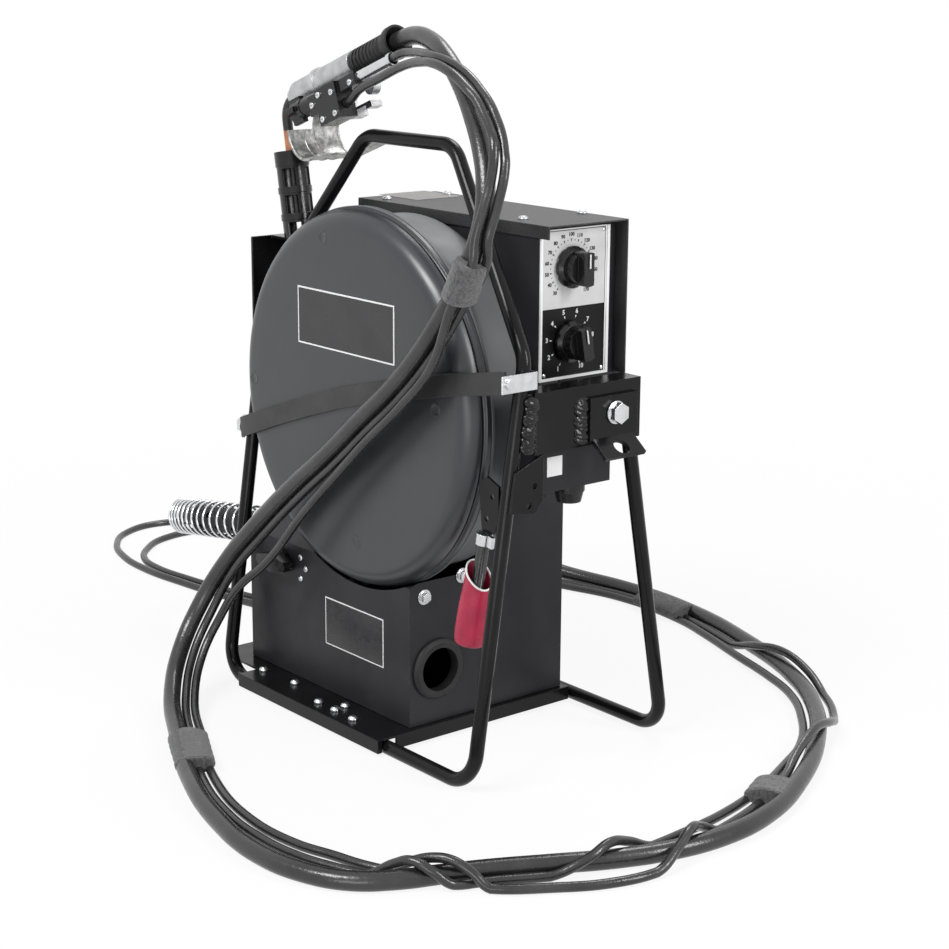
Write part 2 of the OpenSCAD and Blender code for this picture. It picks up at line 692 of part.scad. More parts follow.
module pressure_arm() {
    reach = 52;
    color("gray") difference() {
        union() {
            rod_y([arm_pivot.x, arm_y, arm_pivot.y], 7, arm_t);
            box([arm_pivot.x, arm_y, arm_pivot.y - 4], [arm_pivot.x + reach, arm_y + arm_t, arm_pivot.y + 4]);
            rod_y([-rolls_x, -wire_y - roll_w / 2 - 2, idle_z], 3, arm_y + wire_y + roll_w / 2 + 3);
            rod_y([arm_pivot.x + reach, arm_y, arm_pivot.y], 4, arm_t);
        }
        rod_y([arm_pivot.x, arm_y - 1, arm_pivot.y], 4 + run_gap, arm_t + 2);
    }
}

module idle_roll() {
    color("silver") difference() {
        rod_y([-rolls_x, -wire_y - roll_w / 2 + 0.5, idle_z], idle_d / 2 - 0.35, roll_w - 1);
        rod_y([-rolls_x, -wire_y - roll_w / 2 - 1, idle_z], 3 + run_gap, roll_w + 2);
    }
}

guide_len = 22;

module wire_guides() {
    color([0.72, 0.55, 0.25]) difference() {
        union() {
            // inlet guide on a post from the gearbox face
            rod_x([-rolls_x + 22, -wire_y, wire_z], 4, guide_len);
            box([-rolls_x + 30, -wire_y - 4, drive_z + 8], [-rolls_x + 38, -wire_y + 4, wire_z]);
            box([-rolls_x + 30, -wire_y - 4, drive_z], [-rolls_x + 38, gear_depth[0] + 12, drive_z + 8]);
            box([gear_x[1] + slack, gear_depth[0] + 4, drive_z],
                [-rolls_x + 38, gear_depth[0] + 12, drive_z + 8]);
            // outlet socket in the end wall
            rod_x([-cab_left + cab_t + slack, -wire_y, wire_z], 14, 9);
            rod_x([-cab_left - 6, -wire_y, wire_z], outlet_hole_r, 6 + cab_t + slack);
            rod_x([-cab_left + cab_t + 9, -wire_y, wire_z], 4, cab_left - rolls_x - cab_t - 31);
        }
        rod_x([-cab_left - 10, -wire_y, wire_z], wire_d / 2 + 0.1, 140);
    }
}

// The wire leaves the coil's underside, bends at the inlet guide and runs through the rolls.
inlet = [-rolls_x + 22 + guide_len, wire_z];
reel_c = [-drum_x, drum_z];
coil_touch = coil_od / 2 + wire_d / 2 + 0.4;
inlet_far = norm(reel_c - inlet);
wire_rise = atan2(reel_c.y - inlet.y, reel_c.x - inlet.x) - asin(coil_touch / inlet_far);
wire_run = sqrt(inlet_far * inlet_far - coil_touch * coil_touch);
wire_shift = atan2(3.4, wire_run);

module feed_wire() {
    color([0.75, 0.72, 0.68]) {
        rod_x([-cab_left - 4, -wire_y, wire_z], wire_d / 2, cab_left + 4 + inlet.x);
        translate([inlet.x, -wire_y, wire_z]) {
            sphere(wire_d / 2, $fn = 24);
            rotate([0, 90 - wire_rise, -wire_shift]) cylinder(h = wire_run, r = wire_d / 2);
        }
    }
}

// ---------- outlet at the left end ----------

guard_len = 196;
guard_droop = 8.5;
guard_start = [-cab_left - 0.8 - guard_wire_d / 2, -wire_y, wire_z];
sleeve_r = 13;
sleeve_len = 168;

module guard_place() {
    translate([-cab_left, -wire_y, wire_z]) rotate([0, -90 - guard_droop, 0]) children();
}

module outlet_sleeve() {
    color([0.1, 0.1, 0.1]) guard_place() difference() {
        union() {
            translate([0, 0, 3]) cylinder(h = sleeve_len - 3, r = sleeve_r);
            translate([0, 0, 3]) cylinder(h = 6, r = sleeve_r + 1.5);
        }
        translate([0, 0, 7]) cylinder(h = sleeve_len, r = gun_cable_d / 2 + 0.3);
        // row of round vents through the wall
        for (i = [0 : 8]) for (a = [0, 120, 240])
            translate([0, 0, 26 + i * 15.5]) rotate([0, 0, a + 60 * (i % 2)]) rotate([0, 90, 0])
                cylinder(h = sleeve_r + 2, r = 3);
        // trimmed square to the end wall, round the brass socket
        translate([0, 0, -4]) rotate([0, guard_droop, 0]) translate([-40, -40, -40]) cube([80, 80, 44]);
        translate([0, 0, 0]) rotate([0, guard_droop, 0]) cylinder(h = 10, r = outlet_hole_r + 0.2);
    }
}

// Spring guard: open coils at the cabinet that close up towards the free end.
guard_rings = 8;
guard_open = 1.65;
function guard_at(u) = guard_len * (guard_open * u + (1 - guard_open) * u * u) + guard_wire_d;
function guard_point(u) = [
    guard_d / 2 * cos(360 * guard_turns * u),
    guard_d / 2 * sin(360 * guard_turns * u),
    guard_at(u) + (guard_d / 2) * tan(guard_droop) * 1.1
];
guard_route = [for (i = [0 : guard_turns * guard_rings]) guard_point(i / (guard_turns * guard_rings))];
guard_gap = min([
    for (i = [0 : len(guard_route) - 1 - guard_rings])
        norm(guard_route[i + guard_rings] - guard_route[i]) - guard_wire_d
]);
echo(least_spring_gap = guard_gap);

module spring_guard() {
    straight = guard_wire_d;
    first = guard_route[0] - unit(guard_route[1] - guard_route[0]) * straight;
    final = guard_route[len(guard_route) - 1]
        + unit(guard_route[len(guard_route) - 1] - guard_route[len(guard_route) - 2]) * straight;
    color([0.86, 0.86, 0.88]) guard_place()
        sweep(concat([first], guard_route, [final]), ring(guard_wire_d / 2, 6), [1, 0, 0]);
}

module lead_glands() {
    color([0.08, 0.08, 0.08]) for (y = motor_lead_y) difference() {
        union() {
            rod_x([-cab_left - 7, y, lead_z], 7.6, 7 - slack);
            rod_x([-cab_left - 0.5, y, lead_z], lead_hole_r - 0.2, cab_t + 5);
        }
        rod_x([-cab_left - 8, y, lead_z], lead_d / 2 + 0.2, 2);
    }
}

// ---------- wire drum ----------

lid_bosses = [for (p = [[-0.207, 0.834], [-0.882, -0.018], [0.746, 0.083], [0.071, -0.751]]) lid_r * p];

module drum_lid() {
    color([0.35, 0.36, 0.38]) translate([0, lid_back, 0]) drum_place() {
        rotate_extrude($fn = 96) {
            difference() {
                union() {
                    square([lid_r - lid_round, lid_depth]);
                    square([lid_r, lid_depth - lid_round]);
                    intersection() {
                        translate([lid_r - lid_round, lid_depth - lid_round]) circle(lid_round);
                        square([lid_r, lid_depth]);
                    }
                    square([lid_r + 1.6, 4]);
                }
                square([lid_r - lid_round, lid_depth - drum_t]);
                square([lid_r - drum_t, lid_depth - lid_round]);
                translate([lid_r - lid_round, lid_depth - lid_round]) circle(lid_round - drum_t);
            }
        }
        for (p = lid_bosses) translate([p.x, p.y, lid_depth - 0.5]) cylinder(h = 0.9, r = 6);
    }
}

module drum_shell() {
    front = lid_back;
    inset = 5;
    depth = shell_back - front;
    round = 10;
    color([0.4, 0.42, 0.43]) translate([0, shell_back, 0]) drum_place() difference() {
        rotate_extrude($fn = 96) difference() {
            union() {
                translate([0, round]) square([shell_r, depth + inset - round]);
                square([shell_r - round, round + 1]);
                translate([shell_r - round, round]) circle(round);
                translate([shell_r - 1, depth - 3 - slack]) square([lid_r + 1.6 - shell_r + 1, 3]);
            }
            translate([0, drum_t]) square([shell_r - round, depth + inset]);
            translate([0, round]) square([shell_r - drum_t, depth + inset]);
            translate([shell_r - round, round]) circle(round - drum_t);
        }
        translate([0, 0, -1]) cylinder(h = drum_t + 2, r = spindle_d / 2 + 0.1);
        // slot through which the wire leaves
        translate([-64, -shell_r - 5, shell_back + wire_y - 8]) cube([42, 5 + 0.14 * shell_r, 16]);
    }
}

module spindle() {
    color("silver") {
        rod_y([-drum_x, reel_front - 5.5, drum_z], spindle_d / 2, tower_front + 20 - reel_front + 5.5);
        rod_y([-drum_x, tower_front + cab_t + slack, drum_z], spindle_d / 2 + 12, 8);
        rod_y([-drum_x, shell_back - drum_t - slack - 3, drum_z], spindle_d / 2 + 8, 3);
    }
}

module spindle_nut() {
    color([0.12, 0.12, 0.12]) translate([-drum_x, reel_front - slack, drum_z]) rotate([90, 0, 0])
        difference() {
            cylinder(h = 5.5, r = spindle_d / 2 + 8, $fn = 12);
            translate([0, 0, -1]) cylinder(h = 8, r = spindle_d / 2 + 0.05);
        }
}

spokes = 6;
flange_t = 3;

// Reel that carries the coil: a bored hub, spoked flanges and a rim under the coil.
module wire_reel() {
    color([0.13, 0.13, 0.14]) difference() {
        union() {
            rod_y([-drum_x, reel_front, drum_z], spindle_d / 2 + 9, reel_back - reel_front);
            for (y = [reel_front, reel_back - flange_t]) difference() {
                rod_y([-drum_x, y, drum_z], coil_od / 2 + 6, flange_t);
                for (i = [0 : spokes - 1]) translate([-drum_x, y - 1, drum_z])
                    rotate([0, i * 360 / spokes, 0]) translate([0, 0, hub_r * 0.62])
                        rotate([-90, 0, 0]) cylinder(h = flange_t + 2, r = hub_r * 0.24);
            }
            difference() {
                rod_y([-drum_x, reel_front, drum_z], hub_r, reel_back - reel_front);
                rod_y([-drum_x, reel_front - 1, drum_z], hub_r - 3, reel_back - reel_front + 2);
            }
        }
        rod_y([-drum_x, reel_front - 1, drum_z], spindle_d / 2 + run_gap, reel_back - reel_front + 2);
    }
}

module wire_coil() {
    pad = (reel_back - reel_front - 2 * flange_t - coil_w) / 2;
    rows = 10;
    pitch = coil_w / rows;
    color([0.62, 0.6, 0.56]) translate([-drum_x, reel_front + flange_t + pad, drum_z])
        rotate([-90, 0, 0]) rotate_extrude($fn = 96) difference() {
            union() {
                translate([coil_id / 2, 0]) square([(coil_od - coil_id) / 2 - pitch / 2, coil_w]);
                for (i = [0 : rows - 1]) translate([coil_od / 2 - pitch / 2, pitch * (i + 0.5)])
                    circle(pitch / 2, $fn = 16);
            }
        }
}

// ---------- rubber strap over the lid ----------

strap_w = 19;
strap_t = 3;
strap_face = -lid_face - 0.4 - slack - strap_t / 2;
strap_route = [
    [-190, -82.5, 246], [-183, -89, 249], [-168, strap_face, 254], [-120, strap_face, 272],
    [-70, strap_face, 289], [-20, strap_face, 305], [40, strap_face, 320], [100, strap_face, 334],
    [140, strap_face, 343], [152, strap_face + 0.8, 345], [166, -89, 347], [186, -82, 350],
    [193.6, -77.5, 351]
];

module strap() {
    outline = [[-strap_w / 2, -strap_t / 2], [strap_w / 2, -strap_t / 2],
               [strap_w / 2, strap_t / 2], [-strap_w / 2, strap_t / 2]];
    color([0.16, 0.16, 0.17]) sweep(strap_route, outline, [0, 0, 1], upright = true);
}

clip_z = [343, 358];

module strap_clip() {
    x = web_x;
    leg_y = front_y(350);
    color("silver") {
        box([x, -86, clip_z[0]], [x + 1.8, leg_y + tube_r + 3.2, clip_z[1]]);
        box([x - 14, leg_y + tube_r + 1.7, clip_z[0]], [x, leg_y + tube_r + 3.2, clip_z[1]]);
    }
}

module strap_bolts() {
    color("silver") {
        rod_x([web_x + 1.8, -79, 351], 4.2, 2.4);
        translate([-left_leg_x - tube_r - 8, front_y(247) - 2, 247]) rotate([0, 90, 0]) {
            cylinder(h = 6, r = 9.5, $fn = 6);
            translate([0, 0, 6]) cylinder(h = 1.8, r = 10);
        }
    }
}

// ---------- control box ----------

chassis_y = [-3.6, ctrl_rear - ctrl_t - slack];
ctrl_floor = tower_top + slack;

module control_chassis() {
    color([0.07, 0.07, 0.08]) difference() {
        box([-ctrl_left + ctrl_t + slack, chassis_y[0], ctrl_floor],
            [panel_x, chassis_y[1], ctrl_top - ctrl_t - slack]);
        box([-ctrl_left + 2 * ctrl_t + slack, chassis_y[0] + ctrl_t, ctrl_floor + ctrl_t],
            [panel_x - ctrl_t, chassis_y[1] - ctrl_t, ctrl_top]);
        for (z = [speed_z, volts_z]) rod_x([panel_x - 4, knob_y, z], 5.1, 8);
    }
}

module control_cover() {
    front = -5.4;
    lip = 11.4;
    x0 = -ctrl_left;
    x1 = panel_x + hood_over;
    color([0.1, 0.1, 0.11]) {
        box([x0, front, ctrl_top - ctrl_t], [x1, ctrl_rear, ctrl_top]);
        box([x0, front, ctrl_top - lip], [x1, front + ctrl_t, ctrl_top - ctrl_t]);
        box([x0, ctrl_rear - ctrl_t, ctrl_floor], [x1, ctrl_rear, ctrl_top - ctrl_t]);
        box([x0, front + ctrl_t, ctrl_floor], [x0 + ctrl_t, ctrl_rear - ctrl_t, ctrl_top - ctrl_t]);
    }
}

plate_t = 1.2;
plate_y = [-2.4, 72];
plate_z = [336, 464];
trim_w = 3;

module dial_plate() {
    x = panel_x + slack;
    color([0.85, 0.85, 0.85]) difference() {
        union() {
            box([x, plate_y[0], plate_z[0]], [x + plate_t, plate_y[1], plate_z[1]]);
            for (y = [chassis_y[0] + 0.4, plate_y[1]])
                box([x, y, plate_z[0]], [x + plate_t + 1, y + (y < 0 ? 2 : trim_w), plate_z[1]]);
            box([x, chassis_y[0] + 0.4, plate_z[0] - 1.2], [x + plate_t + 1, plate_y[1] + trim_w, plate_z[0] + 1]);
        }
        for (z = [speed_z, volts_z]) rod_x([panel_x - 1, knob_y, z], 5.6, 6);
    }
}

knob_x = panel_x + slack + plate_t + 1.4;

// Fluted skirt and a finger bar, turned so that the bar's nose points up; local Z is outward.
module dial_knob(z, nose) {
    flutes = 8;
    color([0.05, 0.05, 0.05]) translate([knob_x, knob_y, z]) rotate([0, 90, 0]) difference() {
        union() {
            cylinder(h = 3, r = knob_d / 2);
            translate([0, 0, 3]) cylinder(h = 3, r1 = knob_d / 2, r2 = knob_d / 2 - 3);
            cylinder(h = 14, r = knob_d / 2 - 5);
            rotate([0, 0, nose]) translate([0, 0, 5]) linear_extrude(17) intersection() {
                square([knob_d, 11], center = true);
                circle(knob_d / 2 - 3.4);
            }
        }
        translate([0, 0, -1]) cylinder(h = 17, r = 3 + run_gap);
        for (i = [0 : flutes - 1]) rotate([0, 0, i * 360 / flutes + 22.5])
            translate([knob_d / 2 + 1.2, 0, -1]) cylinder(h = 8, r = 2.4);
    }
}

module speed_knob() {
    dial_knob(speed_z, 0);
}

module volts_knob() {
    dial_knob(volts_z, 10);
}

module potentiometers() {
    color("gray") for (z = [speed_z, volts_z]) {
        rod_x([panel_x - ctrl_t - slack - 12, knob_y, z], 12, 12);
        rod_x([panel_x - ctrl_t - slack, knob_y, z], 5, ctrl_t + slack + 1.4);
        rod_x([panel_x - ctrl_t - slack, knob_y, z], 3, knob_x + 12 - panel_x + ctrl_t + slack);
    }
}

module circuit_board() {
    y = chassis_y[1] - ctrl_t - 10;
    z0 = ctrl_floor + ctrl_t + slack;
    color([0.1, 0.3, 0.18]) {
        box([-70, y, z0 + 12], [90, y + 1.6, z0 + 100]);
        for (x = [-64, 84]) for (z = [z0 + 18, z0 + 94])
            rod_y([x, y + 1.6, z], 3, chassis_y[1] - ctrl_t - y - 1.6);
        // transformer, relay and capacitors
        box([-60, y - 34, z0 + 20], [-20, y, z0 + 62]);
        box([0, y - 22, z0 + 24], [26, y, z0 + 50]);
        for (x = [44, 68]) rod_y([x, y - 30, z0 + 44], 9, 30);
        for (x = [4, 24, 44, 64]) box([x - 6, y - 12, z0 + 70], [x + 6, y, z0 + 86]);
    }
}

module cover_screws() {
    color("silver") for (p = [[-79, 7], [110, 10], [110, 78], [-79, 78]])
        translate([p.x, p.y, ctrl_top]) pan_head(4.4, 3);
}

// ---------- gun holster ----------

module holster_bracket() {
    t = 3;
    x = -left_leg_x - tube_r - slack;
    color("black") {
        box([x - t, -66, 325], [x, -12, holster_floor - slack]);
        box([x, -44, holster_floor - slack - t], [-150, -12, holster_floor - slack]);
    }
}

module holster() {
    wall = 3;
    window = [13, 17];
    rows = 3;
    pitch = 25;
    length = 90;
    color([0.12, 0.12, 0.13]) intersection() {
        translate(holster_top) rotate([0, -holster_tilt, 0]) difference() {
            union() {
                translate([0, 0, -length]) cylinder(h = length, r = holster_d / 2 - 0.8);
                for (z = [-length, -14, -14 - pitch, -14 - 2 * pitch])
                    translate([0, 0, z]) cylinder(h = z == -14 ? 14 : 6, r = holster_d / 2);
            }
            translate([0, 0, -length - 1]) cylinder(h = length + 2, r = holster_d / 2 - wall);
            for (i = [0 : rows - 1]) for (a = [0 : 90 : 270])
                translate([0, 0, -16 - window.y - i * pitch]) rotate([0, 0, a - 52])
                    translate([0, -window.x / 2, 0]) cube([holster_d, window.x, window.y]);
        }
        translate([-250, -100, holster_floor]) cube([200, 200, 200]);
    }
}

// ---------- welding gun ----------

under = -grip_d / 2;     // underside of the handle, in the gun's own frame
trigger_at = [60, -34];  // pivot of the trigger: along and below the handle's axis
shield_c = [30, -42];    // centre of the hand shield's curve
switch_c = [-18, -20];   // axis of the selector switch: across and below the handle
lug_c = [104, -24];      // rounded lug under the boot

module gun_body() {
    color([0.62, 0.62, 0.64]) gun_place() difference() {
        union() {
            rotate([0, 90, 0]) cylinder(h = grip_l, r = grip_d / 2);
            translate([-10, 0, 0]) rotate([0, 90, 0]) cylinder(h = 10, r1 = 8.5, r2 = grip_d / 2 - 1);
            translate([34, 0, 0]) rotate([0, 90, 0]) cylinder(h = 5, r = grip_d / 2 + 1.5);
            // rail under the handle, and the lug at its rear end
            translate([20, 0, under - 1.3]) cube([76, 8, 6]);
            translate([88, 0, -20]) cube([22, 8, 20 + under - 0.5]);
            translate([lug_c.x, 0, lug_c.y]) rotate([-90, 0, 0]) cylinder(h = 8, r = 7);
            // cheek that carries the switch box
            translate([61, -14, under - 6]) cube([27, 16, 8]);
            // ears of the trigger
            for (y = [-5.4, 10.4]) translate([trigger_at.x - 5, y, trigger_at.y - 5])
                cube([10, 3, under - trigger_at.y + 7]);
            translate([trigger_at.x - 5, -5.4, under - 1.3]) cube([10, 18.8, 4]);
            // foot of the hand shield
            translate([22, 0, under - 1.3]) cube([20, 26, 5]);
        }
        translate([trigger_at.x, -8, trigger_at.y]) rotate([-90, 0, 0]) cylinder(h = 24, r = 1.5 + run_gap);
    }
}

gun_boot_r = [grip_d / 2 - 2, 15];

module gun_boot() {
    ribs = 8;
    color([0.09, 0.09, 0.09]) gun_place() translate([grip_l + slack, 0, 0]) rotate([0, 90, 0])
        rotate_extrude() difference() {
            union() {
                polygon([[0, 0], [gun_boot_r[0], 0], [gun_boot_r[0] + 1.2, gun_boot_l - 14],
                         [gun_boot_r[1], gun_boot_l - 6], [gun_boot_r[1], gun_boot_l], [0, gun_boot_l]]);
                for (i = [0 : ribs - 1]) translate([gun_boot_r[0] - 2, 4 + i * 5.4]) square([3.8, 2.6]);
            }
            translate([-1, gun_boot_l - mouth_depth]) square([gun_cable_d / 2 + 0.3 + 1, mouth_depth + 1]);
            polygon([[-1, gun_boot_l - 8], [gun_cable_d / 2 + 0.2, gun_boot_l - 8],
                     [gun_boot_r[1] - 2, gun_boot_l + 0.1], [-1, gun_boot_l + 0.1]]);
        }
}

// Switch box under the handle, its terminal block and the tube of the trigger lead.
switch_s = [58, 90];
switch_y = [-27, -8];
switch_n = [-46, -13.4];
ferrule = [-17, -18];
ferrule_s = [116, 168];

module switch_box() {
    color([0.06, 0.06, 0.06]) gun_place() difference() {
        union() {
            translate([switch_s[0], switch_y[0], switch_n[0]])
                cube([switch_s[1] - switch_s[0], switch_y[1] - switch_y[0], under - 6.3 - switch_n[0]]);
            translate([switch_s[0], switch_y[0], under - 7])
                cube([switch_s[1] - switch_s[0], -14.3 - switch_y[0], 7 + switch_n[1] - under]);
            // barrel towards the selector
            translate([30, switch_c.x, switch_c.y]) rotate([0, 90, 0]) cylinder(h = 29, r = 8.4);
            translate([46, switch_y[0], -34]) cube([13, switch_y[1] - switch_y[0] - 1, 18]);
            // terminal block and the lead's tube
            translate([switch_s[1] - 1, -24, -24.5]) cube([28, 9.7, 10.5]);
            translate([ferrule_s[0], ferrule.x, ferrule.y]) rotate([0, 90, 0])
                cylinder(h = ferrule_s[1] - ferrule_s[0], r = 5);
            translate([ferrule_s[1] - 5, ferrule.x, ferrule.y]) rotate([0, 90, 0]) cylinder(h = 5, r = 5.8);
            for (q = [[64, -19], [64, -41], [84, -22], [84, -41], [52, -25], [110, -21]])
                translate([q.x, switch_y[0] + (q.x > 100 ? 3 : 0), q.y]) rotate([90, 0, 0])
                    pan_head(2.8, 1.8);
        }
        translate([20, switch_c.x, switch_c.y]) rotate([0, 90, 0]) cylinder(h = 30, r = 4 + run_gap);
        translate([ferrule_s[1] - 12, ferrule.x, ferrule.y]) rotate([0, 90, 0])
            cylinder(h = 20, r = lead_d / 2 + 0.5);
        translate([switch_s[1] - 6, -18, -34]) rotate([0, 90, 0]) cylinder(h = 20, r = lead_d / 2 + 0.5);
    }
}

module selector_knob() {
    lobes = 4;
    color([0.04, 0.04, 0.04]) gun_place() translate([30 - slack, switch_c.x, switch_c.y])
        rotate([0, -90, 0]) {
            translate([0, 0, -18]) cylinder(h = 19, r = 4);
            cylinder(h = 6, r = 9);
            translate([0, 0, 5]) linear_extrude(16) difference() {
                circle(12);
                for (i = [0 : lobes - 1]) rotate(i * 360 / lobes + 45) translate([14.5, 0]) circle(7.5);
            }
        }
}

module trigger() {
    color("silver") gun_place() translate([trigger_at.x, 0, trigger_at.y]) {
        translate([0, -2, 0]) rotate([-90, 0, 0]) cylinder(h = 12, r = 4);
        translate([0, -5.2, 0]) rotate([-90, 0, 0]) cylinder(h = 18.4, r = 1.5);
        translate([0, -2, -4.6]) cube([44, 12, 2.6]);
        translate([36, -2, -8]) cube([9, 12, 4]);
        translate([10, -2, -10]) cube([12, 12, 6]);
    }
}

// Curved sheet that shields the hand: a C seen from the side, with rolled edges and a long foot.
shield_r = 27;

shield_t = 2;

module shield_band(from, to, edges) {
    low = edges[0] - 1;
    high = edges[len(edges) - 1] + 1;
    rotate([90, 0, 0]) rotate([0, 0, from]) rotate_extrude(angle = to - from) {
        translate([shield_r - shield_t, -high]) square([shield_t, high - low]);
        for (y = edges) translate([shield_r - shield_t / 2, -y]) circle(1.7, $fn = 32);
    }
}

module hand_shield() {
    color([0.8, 0.8, 0.8]) gun_place() translate([shield_c.x, 0, shield_c.y]) {
        shield_band(85, 165, [3, 29]);
        shield_band(163, 270, [-25, -8.5, 3, 29]);
        translate([-0.5, -26, -shield_r]) cube([14, 56, shield_t]);
        translate([12, 10, -shield_r]) cube([58, 20, shield_t]);
        translate([-2, 2, shield_r - shield_t]) cube([14, 24, shield_t]);
    }
}

module conductor_tube() {
    dir = [-cos(gun_tilt), -sin(gun_tilt)];
    nose = [gun_origin.x, gun_origin.z] + (10 + slack) * dir;
    down = [sin(holster_tilt), -cos(holster_tilt)];
    top = [holster_top.x, holster_top.z];
    // where the gun's axis meets the holster's axis
    k = ((nose.x - top.x) * dir.y - (nose.y - top.y) * dir.x) / (dir.x * down.y - dir.y * down.x);
    meet = top - k * down;
    c = [nose, meet, top + 62 * down];
    route = concat([[nose.x, nose.y, 0]], arc_points(c, 1, 19), [[c[2].x, c[2].y, 0]]);
    color([0.62, 0.33, 0.2]) translate([0, holster_top.y, 0]) rotate([90, 0, 0])
        sweep(route, ring(conductor_d / 2, 14), [0, 0, 1]);
}

// ---------- cords ----------

module gun_cable() {
    color([0.17, 0.17, 0.18]) sweep(gun_cable_route, ring(gun_cable_d / 2, 10), [0, 0, 1]);
}

module trigger_lead() {
    color([0.15, 0.15, 0.16]) sweep(trigger_lead_route, ring(lead_d / 2, 8), [0, 0, 1]);
}

module switch_lead() {
    color([0.15, 0.15, 0.16]) sweep(switch_lead_route, ring(lead_d / 2, 8), [0, 0, 1]);
}

// Cloth tape round the bundle: [start, end, width, height] of each wrap.
tape_spots = [
    [[188, -110, 452], [173, -112, 420], 34, 26],
    [[-56, -236, 9.5], [8, -267, 9], 36, 17],
    [[364, 65, 9], [349, 98, 9], 42, 17],
    [[-30, 368, 9], [-100, 372, 9], 38, 16]
];

module tape_wraps() {
    color([0.24, 0.24, 0.25]) for (s = tape_spots) {
        outline = [for (p = ring(0.5, 12)) [p.x * s[3], p.y * s[2]]];
        sweep([s[0], (s[0] + s[1]) / 2, s[1]], outline, [0, 0, 1]);
    }
}

// ---------- assembly ----------

base_plate();
base_screws();
front_frame_tube();
rear_frame_tube();
cross_channel();
lug_bracket();
lug_bolt();
breaker_box();
breaker_button();
cable_gland();
gusset_plate();
lead_hanger();
band_clamp();
lead_stub();
red_boot();
cabinet_shell();
cabinet_fasteners();
turn_latch();
port_grommet();
motor_bracket();
drive_motor();
gearbox();
drive_roll();
pressure_arm();
idle_roll();
wire_guides();
feed_wire();
outlet_sleeve();
spring_guard();
lead_glands();
drum_lid();
drum_shell();
spindle();
spindle_nut();
wire_reel();
wire_coil();
strap();
strap_clip();
strap_bolts();
control_chassis();
control_cover();
dial_plate();
speed_knob();
volts_knob();
potentiometers();
circuit_board();
cover_screws();
holster_bracket();
holster();
gun_body();
gun_boot();
switch_box();
selector_knob();
trigger();
hand_shield();
conductor_tube();
gun_cable();
trigger_lead();
switch_lead();
tape_wraps();
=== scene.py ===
"""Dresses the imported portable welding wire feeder: finishes, cords, small parts, light and camera.

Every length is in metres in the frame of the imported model, +Z up and +X towards the dials.
"""

from __future__ import annotations

import json
import logging
import math
import random
from dataclasses import dataclass
from enum import Enum
from typing import Callable, Sequence

import bpy
from mathutils import Matrix, Vector

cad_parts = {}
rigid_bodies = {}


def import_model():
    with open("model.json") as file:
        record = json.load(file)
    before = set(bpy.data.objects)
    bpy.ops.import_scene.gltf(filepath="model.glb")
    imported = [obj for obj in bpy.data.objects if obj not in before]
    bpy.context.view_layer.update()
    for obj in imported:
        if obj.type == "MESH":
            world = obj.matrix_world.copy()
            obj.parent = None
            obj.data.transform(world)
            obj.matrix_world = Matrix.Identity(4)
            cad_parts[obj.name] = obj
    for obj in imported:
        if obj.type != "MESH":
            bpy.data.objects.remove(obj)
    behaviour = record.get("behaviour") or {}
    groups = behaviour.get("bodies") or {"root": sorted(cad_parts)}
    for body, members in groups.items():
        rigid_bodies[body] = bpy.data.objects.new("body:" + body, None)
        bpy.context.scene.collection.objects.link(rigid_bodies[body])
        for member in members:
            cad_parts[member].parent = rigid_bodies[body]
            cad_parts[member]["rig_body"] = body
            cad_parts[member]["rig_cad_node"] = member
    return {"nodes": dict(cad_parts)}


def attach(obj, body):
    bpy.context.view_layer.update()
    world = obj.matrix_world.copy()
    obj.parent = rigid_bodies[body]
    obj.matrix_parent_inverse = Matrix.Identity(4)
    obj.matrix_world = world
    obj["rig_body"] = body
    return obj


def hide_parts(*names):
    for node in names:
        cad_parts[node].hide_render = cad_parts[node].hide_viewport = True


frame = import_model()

LOG = logging.getLogger("wire_feeder")
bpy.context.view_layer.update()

Pair = tuple[float, float]
Point = tuple[float, float, float]
Box = tuple[Point, Point]
Colour = tuple[float, float, float]
Piece = bpy.types.Object
Socket = bpy.types.NodeSocket


class Grain(Enum):
    """Kinds of fine relief that a finish may carry."""

    NONE = "none"
    PEEL = "orange peel"
    PEBBLE = "pebbled moulding"
    CAST = "sand cast"
    BRUSHED_X = "brushed along X"
    BRUSHED_Z = "brushed along Z"
    CLOTH = "woven cloth"


# ---------- node trees ----------


